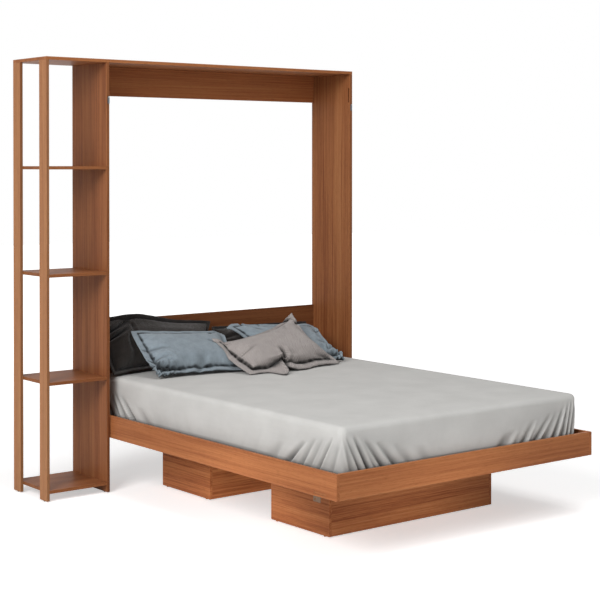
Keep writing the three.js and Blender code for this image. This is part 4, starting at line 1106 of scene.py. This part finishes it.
def pillow_points(pillow, seed):
    """Front and back points of the whole pillow on one grid, flange included, in the pillow's own frame:
    x across, z up, and -y to the front."""
    width, height, thickness = pillow["size"]
    flange = pillow["flange"]
    x, x_first, x_last = grid_stops(width, flange)
    z, z_first, z_last = grid_stops(height, flange)
    front, back = body_panels(x[x_first:x_last + 1], z[z_first:z_last + 1], thickness, seed)
    columns, rows = np.meshgrid(np.arange(len(x)), np.arange(len(z)))
    near_column = np.clip(columns, x_first, x_last)
    near_row = np.clip(rows, z_first, z_last)
    nearest = (near_row - z_first, near_column - x_first)
    flat_x, flat_z = x[columns], z[rows]
    offset = np.stack([flat_x - x[near_column], np.zeros(columns.shape), flat_z - z[near_row]], axis=-1)
    out = np.maximum(np.abs(offset[..., 0]), np.abs(offset[..., 2]))
    u, v = 2 * flat_x / width, 2 * flat_z / height
    half = np.where(out > flange - HEM_WIDTH, HEM_THICKNESS, FLANGE_THICKNESS) / 2
    wave = flange_wave(u, v, flat_x, flat_z, pillow, seed) - flange_tilt(u, v, pillow["tilts"])
    wave *= np.clip(out / flange, 0, 1)
    bunched = ruffle_wave(u, v, pillow, seed)
    sunk = crease_depth(u, v, width, height, pillow["creases"])
    inside = (columns > x_first) & (columns < x_last) & (rows > z_first) & (rows < z_last)
    from_side = np.minimum(x[x_last] - flat_x, flat_x - x[x_first])
    from_end = np.minimum(z[z_last] - flat_z, flat_z - z[z_first])
    over_x = np.where(inside, np.sign(flat_x) * overhang(from_side), 0)
    over_z = np.where(inside, np.sign(flat_z) * overhang(from_end), 0)
    gathered = np.where(
        from_side < from_end,
        puckers(from_side, flat_z, seed + 3),
        puckers(from_end, flat_x, seed + 8))
    near_seam = hump(np.clip(np.minimum(from_side, from_end), 0, None), NEAR_SEAM)
    # Painted shade for the cloth: in the seam, down in narrow creases and in bunched corners
    shade_in = np.maximum.reduce([
        seam_shade(from_side, from_end, u, v, pillow["seams"]),
        crease_shade(u, v, width, height, pillow["creases"]),
        np.clip(bunched / DARK_BUNCH_DEPTH, 0, 1),
    ])
    layers = []
    for panel, sign in ((front, -1), (back, 1)):
        full = panel[nearest] + offset
        full[..., 0] = flat_x + DRAW_IN_SHARE * (full[..., 0] - flat_x) + over_x
        full[..., 2] = flat_z + DRAW_IN_SHARE * (full[..., 2] - flat_z) + over_z
        swell = np.abs(full[..., 1]) / (thickness / 2)
        slim = 1 - SAG * v - TOP_SLIMNESS * np.clip(v, 0, 1) ** 2
        full[..., 1] = sign * (thickness / 2) * slim * swell ** FULLNESS
        full[..., 1] += SEAM_SINKING * sunk * near_seam + wave
        if sign < 0:
            dent = np.minimum(sunk * (1 - SEAM_SINKING * near_seam), DEEPEST_DENT * np.abs(full[..., 1]))
            full[..., 1] += np.where(inside, dent + bunched + gathered, 0)
        else:
            full[..., 1] *= pillow["back"]
        full[..., 1] += sign * half
        layers.append(full)
    return layers, flat_x, flat_z, shade_in


def placed(pillow, layer):
    """A layer of the pillow laid between its four corners, and the direction it faces there."""
    width, height = pillow["size"][:2]
    top, right, bottom, left = pillow["bows"]
    top_left, top_right, bottom_left, bottom_right = (np.array(corner) for corner in pillow["corners"])
    u, v = 2 * layer[..., 0] / width, 2 * layer[..., 2] / height
    bow_x = right * np.clip(u, 0, None) ** 2 - left * np.clip(-u, 0, None) ** 2
    bow_z = top * np.clip(v, 0, None) ** 2 - bottom * np.clip(-v, 0, None) ** 2
    s = ((layer[..., 0] + (1 - v ** 2) * bow_x) / width + 0.5)[..., None]
    t = ((layer[..., 2] + (1 - u ** 2) * bow_z) / height + 0.5)[..., None]
    along = (1 - t) * (bottom_right - bottom_left) + t * (top_right - top_left)
    rising = (1 - s) * (top_left - bottom_left) + s * (top_right - bottom_right)
    facing = np.cross(along, rising)
    facing /= np.linalg.norm(facing, axis=-1, keepdims=True)
    points = (1 - s) * ((1 - t) * bottom_left + t * top_left) + s * ((1 - t) * bottom_right + t * top_right)
    points = points - layer[..., 1:2] * facing
    for (near_u, near_v), (reach_u, reach_v), move in pillow["nudges"]:
        near = hump(u - near_u, reach_u) * hump(v - near_v, reach_v)
        points = points + near[..., None] * np.array(move)
    return points, facing


# How pillows lie on each other and on the mattress: clear of what is under them by small gaps, pressed to
# PRESSED_SHARE of their thickness at most, and pushed outward by PUSHED_SHARE of what is pressed flat
REACH_OVER = 0.16
PILLOW_GAP = 0.0022
PRESSED_SHARE = 0.45
REST_GAP = 0.0008
PRESS_SOFTNESS = 0.003
PRESS_LIMIT = 20
PUSHED_SHARE = 0.7
# UNDER_ROWS of the back grid get a painted contact shadow, where the flange lies on the sheet
UNDER_ROWS = 3


def laid_on(front, back, facing, below):
    """Pushes the pillow's back, and where needed its front, out of the pillows that it lies on."""
    for place in np.ndindex(front.shape[:2]):
        outward = Vector(facing[place])
        thick = (front[place] - back[place]) @ facing[place]
        pushed = 0.0
        for tree in below:
            start = Vector(back[place]) + outward * REACH_OVER
            hit = tree.ray_cast(start, -outward, REACH_OVER + PILLOW_GAP)
            if hit[0] is not None:
                pushed = max(pushed, REACH_OVER - hit[3] + PILLOW_GAP)
        back[place] += pushed * facing[place]
        least = max(FLANGE_THICKNESS, PRESSED_SHARE * thick)
        front[place] += max(0.0, least - (thick - pushed)) * facing[place]
    return front, back


def settled(points, outward):
    """Presses what would be in the mattress flat on its top, and pushes it outward by as much."""
    low, high, middle, half_width, half_length = mattress_sizes()
    x, y = points[:, 0] - middle.x, points[:, 1] - middle.y
    floor = high.z - CROWN + crown_height(x, y, half_width, half_length) + REST_GAP
    rise = (points[:, 2] - floor) / PRESS_SOFTNESS
    lifted = np.where(rise > PRESS_LIMIT, rise, np.log1p(np.exp(np.minimum(rise, PRESS_LIMIT))))
    pushed = floor + PRESS_SOFTNESS * lifted - points[:, 2]
    points[:, 2] = floor + PRESS_SOFTNESS * lifted
    points[:, :2] += np.outer(pushed * PUSHED_SHARE, outward)
    return points


def pillow_mesh(pillow, layers, flat_x, flat_z, shade_in, material, below):
    """One closed mesh of the front and back grids, with a UV map in metres of cloth. The lowest rows of the
    back grid have a painted contact shadow, where the flange lies on the sheet."""
    rows, columns = flat_x.shape
    number = np.arange(rows * columns).reshape(rows, columns)
    back_number = number + rows * columns
    faces = panel_faces(number, back_number)
    border = [(0, column) for column in range(columns - 1)]
    border += [(row, columns - 1) for row in range(rows - 1)]
    border += [(rows - 1, column) for column in range(columns - 1, 0, -1)]
    border += [(row, 0) for row in range(rows - 1, 0, -1)]
    for here, following in zip(border, border[1:] + border[:1]):
        around = number[following], number[here], back_number[here], back_number[following]
        faces.append([int(vertex) for vertex in around])
    (front_points, _), (back_points, facing) = (placed(pillow, layer) for layer in layers)
    front_points, back_points = laid_on(front_points, back_points, facing, below)
    points = np.concatenate([front_points.reshape(-1, 3), back_points.reshape(-1, 3)])
    outward = facing.reshape(-1, 3).mean(axis=0)[:2]
    points = settled(points, outward / np.linalg.norm(outward))
    piece = mesh_object(pillow["name"] + "_cover", points, faces, material)
    flat = np.column_stack([flat_x.ravel(), flat_z.ravel()])
    flat = np.concatenate([flat, flat + (1.0, 0.0)])
    uv = piece.data.uv_layers.new(name="cloth")
    corner = np.zeros(len(piece.data.loops), np.int32)
    piece.data.loops.foreach_get("vertex_index", corner)
    uv.data.foreach_set("uv", flat[corner].astype(np.float32).ravel())
    painted_contact_shadow = np.zeros(shade_in.shape)
    painted_contact_shadow[:UNDER_ROWS] = 1.0
    set_painted_shade(piece, np.concatenate([shade_in.ravel(), painted_contact_shadow.ravel()]))
    return piece


def make_pillow(pillow, seed, cloths, below):
    layers, flat_x, flat_z, shade_in = pillow_points(pillow, seed)
    material, slot = cloths[pillow["cloth"]]
    piece = pillow_mesh(pillow, layers, flat_x, flat_z, shade_in, material, below)
    smooth(piece)
    apply_modifier(piece, "SUBSURF", levels=1, render_levels=1)
    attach(piece, "bed")
    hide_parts(pillow["name"])
    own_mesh(piece)
    return piece


# Stage: a pale floor that keeps the object's shadow, and is white where the camera looks past it, as the
# world is. Lamps are square, and their spread is in degrees.
FLOOR_SIZE = 40
FLOOR_WHITE = 0.90
FLOOR_GLOW = {"From Min": 2.0, "From Max": 6.0, "To Min": 0.50, "To Max": 1.0}
AMBIENT = 0.22
WIDE = 180
LIGHTS = [
    {"name": "key_from_the_left", "place": (-6.6, -3.0, 4.6), "aim": (0, -0.2, 0.9),
     "size": 3.6, "power": 490, "spread": WIDE},
    {"name": "low_light_at_the_foot", "place": (0.6, -4.6, 0.9), "aim": (0.2, -0.6, 0.1),
     "size": 1.8, "power": 8, "spread": WIDE},
    {"name": "low_light_on_the_boxes", "place": (-0.8, -4.4, 0.30), "aim": (0.2, -0.4, -0.10),
     "size": 0.5, "power": 0.75, "spread": 16},
    {"name": "low_light_between_the_boxes", "place": (-2.6, -1.8, 0.2), "aim": (0.0, 0.1, -0.05),
     "size": 0.3, "power": 0.70, "spread": 16},
    {"name": "low_fill_from_the_left", "place": (-4.8, -3.6, 0.5), "aim": (0, 0, 0.1),
     "size": 2.0, "power": 13, "spread": WIDE},
    {"name": "top_light", "place": (0.3, -1.4, 5.8), "aim": (0.1, -0.6, 0),
     "size": 3.0, "power": 105, "spread": WIDE},
]


def seen_white(tree):
    """1 where the camera, a reflection or a view through glass sees the surface, and 0 for its light."""
    path = add(tree, "ShaderNodeLightPath").outputs
    seen = add(tree, MATHS, {0: path["Is Camera Ray"], 1: path["Is Glossy Ray"]}, operation="MAXIMUM")
    return add(tree, MATHS, {0: seen, 1: path["Is Transmission Ray"]}, operation="MAXIMUM")


def make_stage():
    bpy.ops.mesh.primitive_plane_add(size=FLOOR_SIZE, location=(0, 0, 0))
    floor = bpy.context.active_object
    floor.name = "floor"
    material, tree = new_material("pale_studio_floor")
    matt = add(tree, "ShaderNodeBsdfDiffuse", {"Color": (FLOOR_WHITE, FLOOR_WHITE, FLOOR_WHITE, 1)})
    coordinates = add(tree, "ShaderNodeTexCoord").outputs["Object"]
    away = add(tree, "ShaderNodeVectorMath", {0: coordinates}, operation="LENGTH").outputs["Value"]
    whiter = add(tree, "ShaderNodeMapRange", {"Value": away, **FLOOR_GLOW})
    strength = add(tree, MATHS, {0: seen_white(tree), 1: whiter}, operation="MULTIPLY")
    glow = add(tree, "ShaderNodeEmission", {"Color": (1, 1, 1, 1), "Strength": strength})
    both = add(tree, "ShaderNodeAddShader", {0: matt, 1: glow})
    floor.data.materials.append(close_material(material, both))


def make_world():
    world = bpy.data.worlds.new("studio")
    scene.world = world
    world.use_nodes = True
    tree = world.node_tree
    tree.nodes.clear()
    strength = add(tree, MATHS, {0: seen_white(tree), 1: 1 - AMBIENT, 2: AMBIENT}, operation="MULTIPLY_ADD")
    light = add(tree, "ShaderNodeBackground", {"Color": (1, 1, 1, 1), "Strength": strength})
    add(tree, "ShaderNodeOutputWorld", {"Surface": light})


def make_lights():
    for light in LIGHTS:
        data = bpy.data.lights.new(light["name"], "AREA")
        data.shape = "SQUARE"
        data.size = light["size"]
        data.energy = light["power"]
        data.spread = math.radians(light["spread"])
        lamp = bpy.data.objects.new(light["name"], data)
        lamp.location = light["place"]
        towards = Vector(light["aim"]) - Vector(light["place"])
        lamp.rotation_euler = towards.to_track_quat("-Z", "Y").to_euler()
        scene.collection.objects.link(lamp)


# The whole scene: each pillow is made after those that it lies on
scene.view_settings.view_transform = "Standard"
make_camera()
make_world()
make_lights()
make_stage()
dress_boards()
dress_hardware()
sheet_cloth = sheeting("cotton_percale_sheet_woven", "#c5c4c1")
ticking = sheeting("cotton_percale_ticking", "#d8d6d0")
make_mattress_core(ticking)
make_fitted_sheet(sheet_cloth)
cloths = {
    "charcoal": (linen("charcoal_cotton_washed", "#292421", pitch=0.002, contrast=0.6, cloudiness=0.9,
                       depth=0.0004, sheen=0.26), "charcoal_cloth"),
    "blue": (linen("blue_grey_linen_washed", "#869199", pitch=0.002, contrast=0.6, cloudiness=0.5,
                   depth=0.0004, sheen=0.15), "blue_grey_cloth"),
    "grey": (linen("warm_grey_basket_weave", "#a09996", pitch=0.0100, contrast=1.7, cloudiness=0.35,
                   depth=0.0016, sheen=0.15), "warm_grey_weave"),
}
lying = []
for number, pillow in enumerate(PILLOWS):
    cover = make_pillow(pillow, 100 + 10 * number, cloths, lying)
    bpy.context.view_layer.update()
    lying.append(BVHTree.FromObject(cover, bpy.context.evaluated_depsgraph_get()))
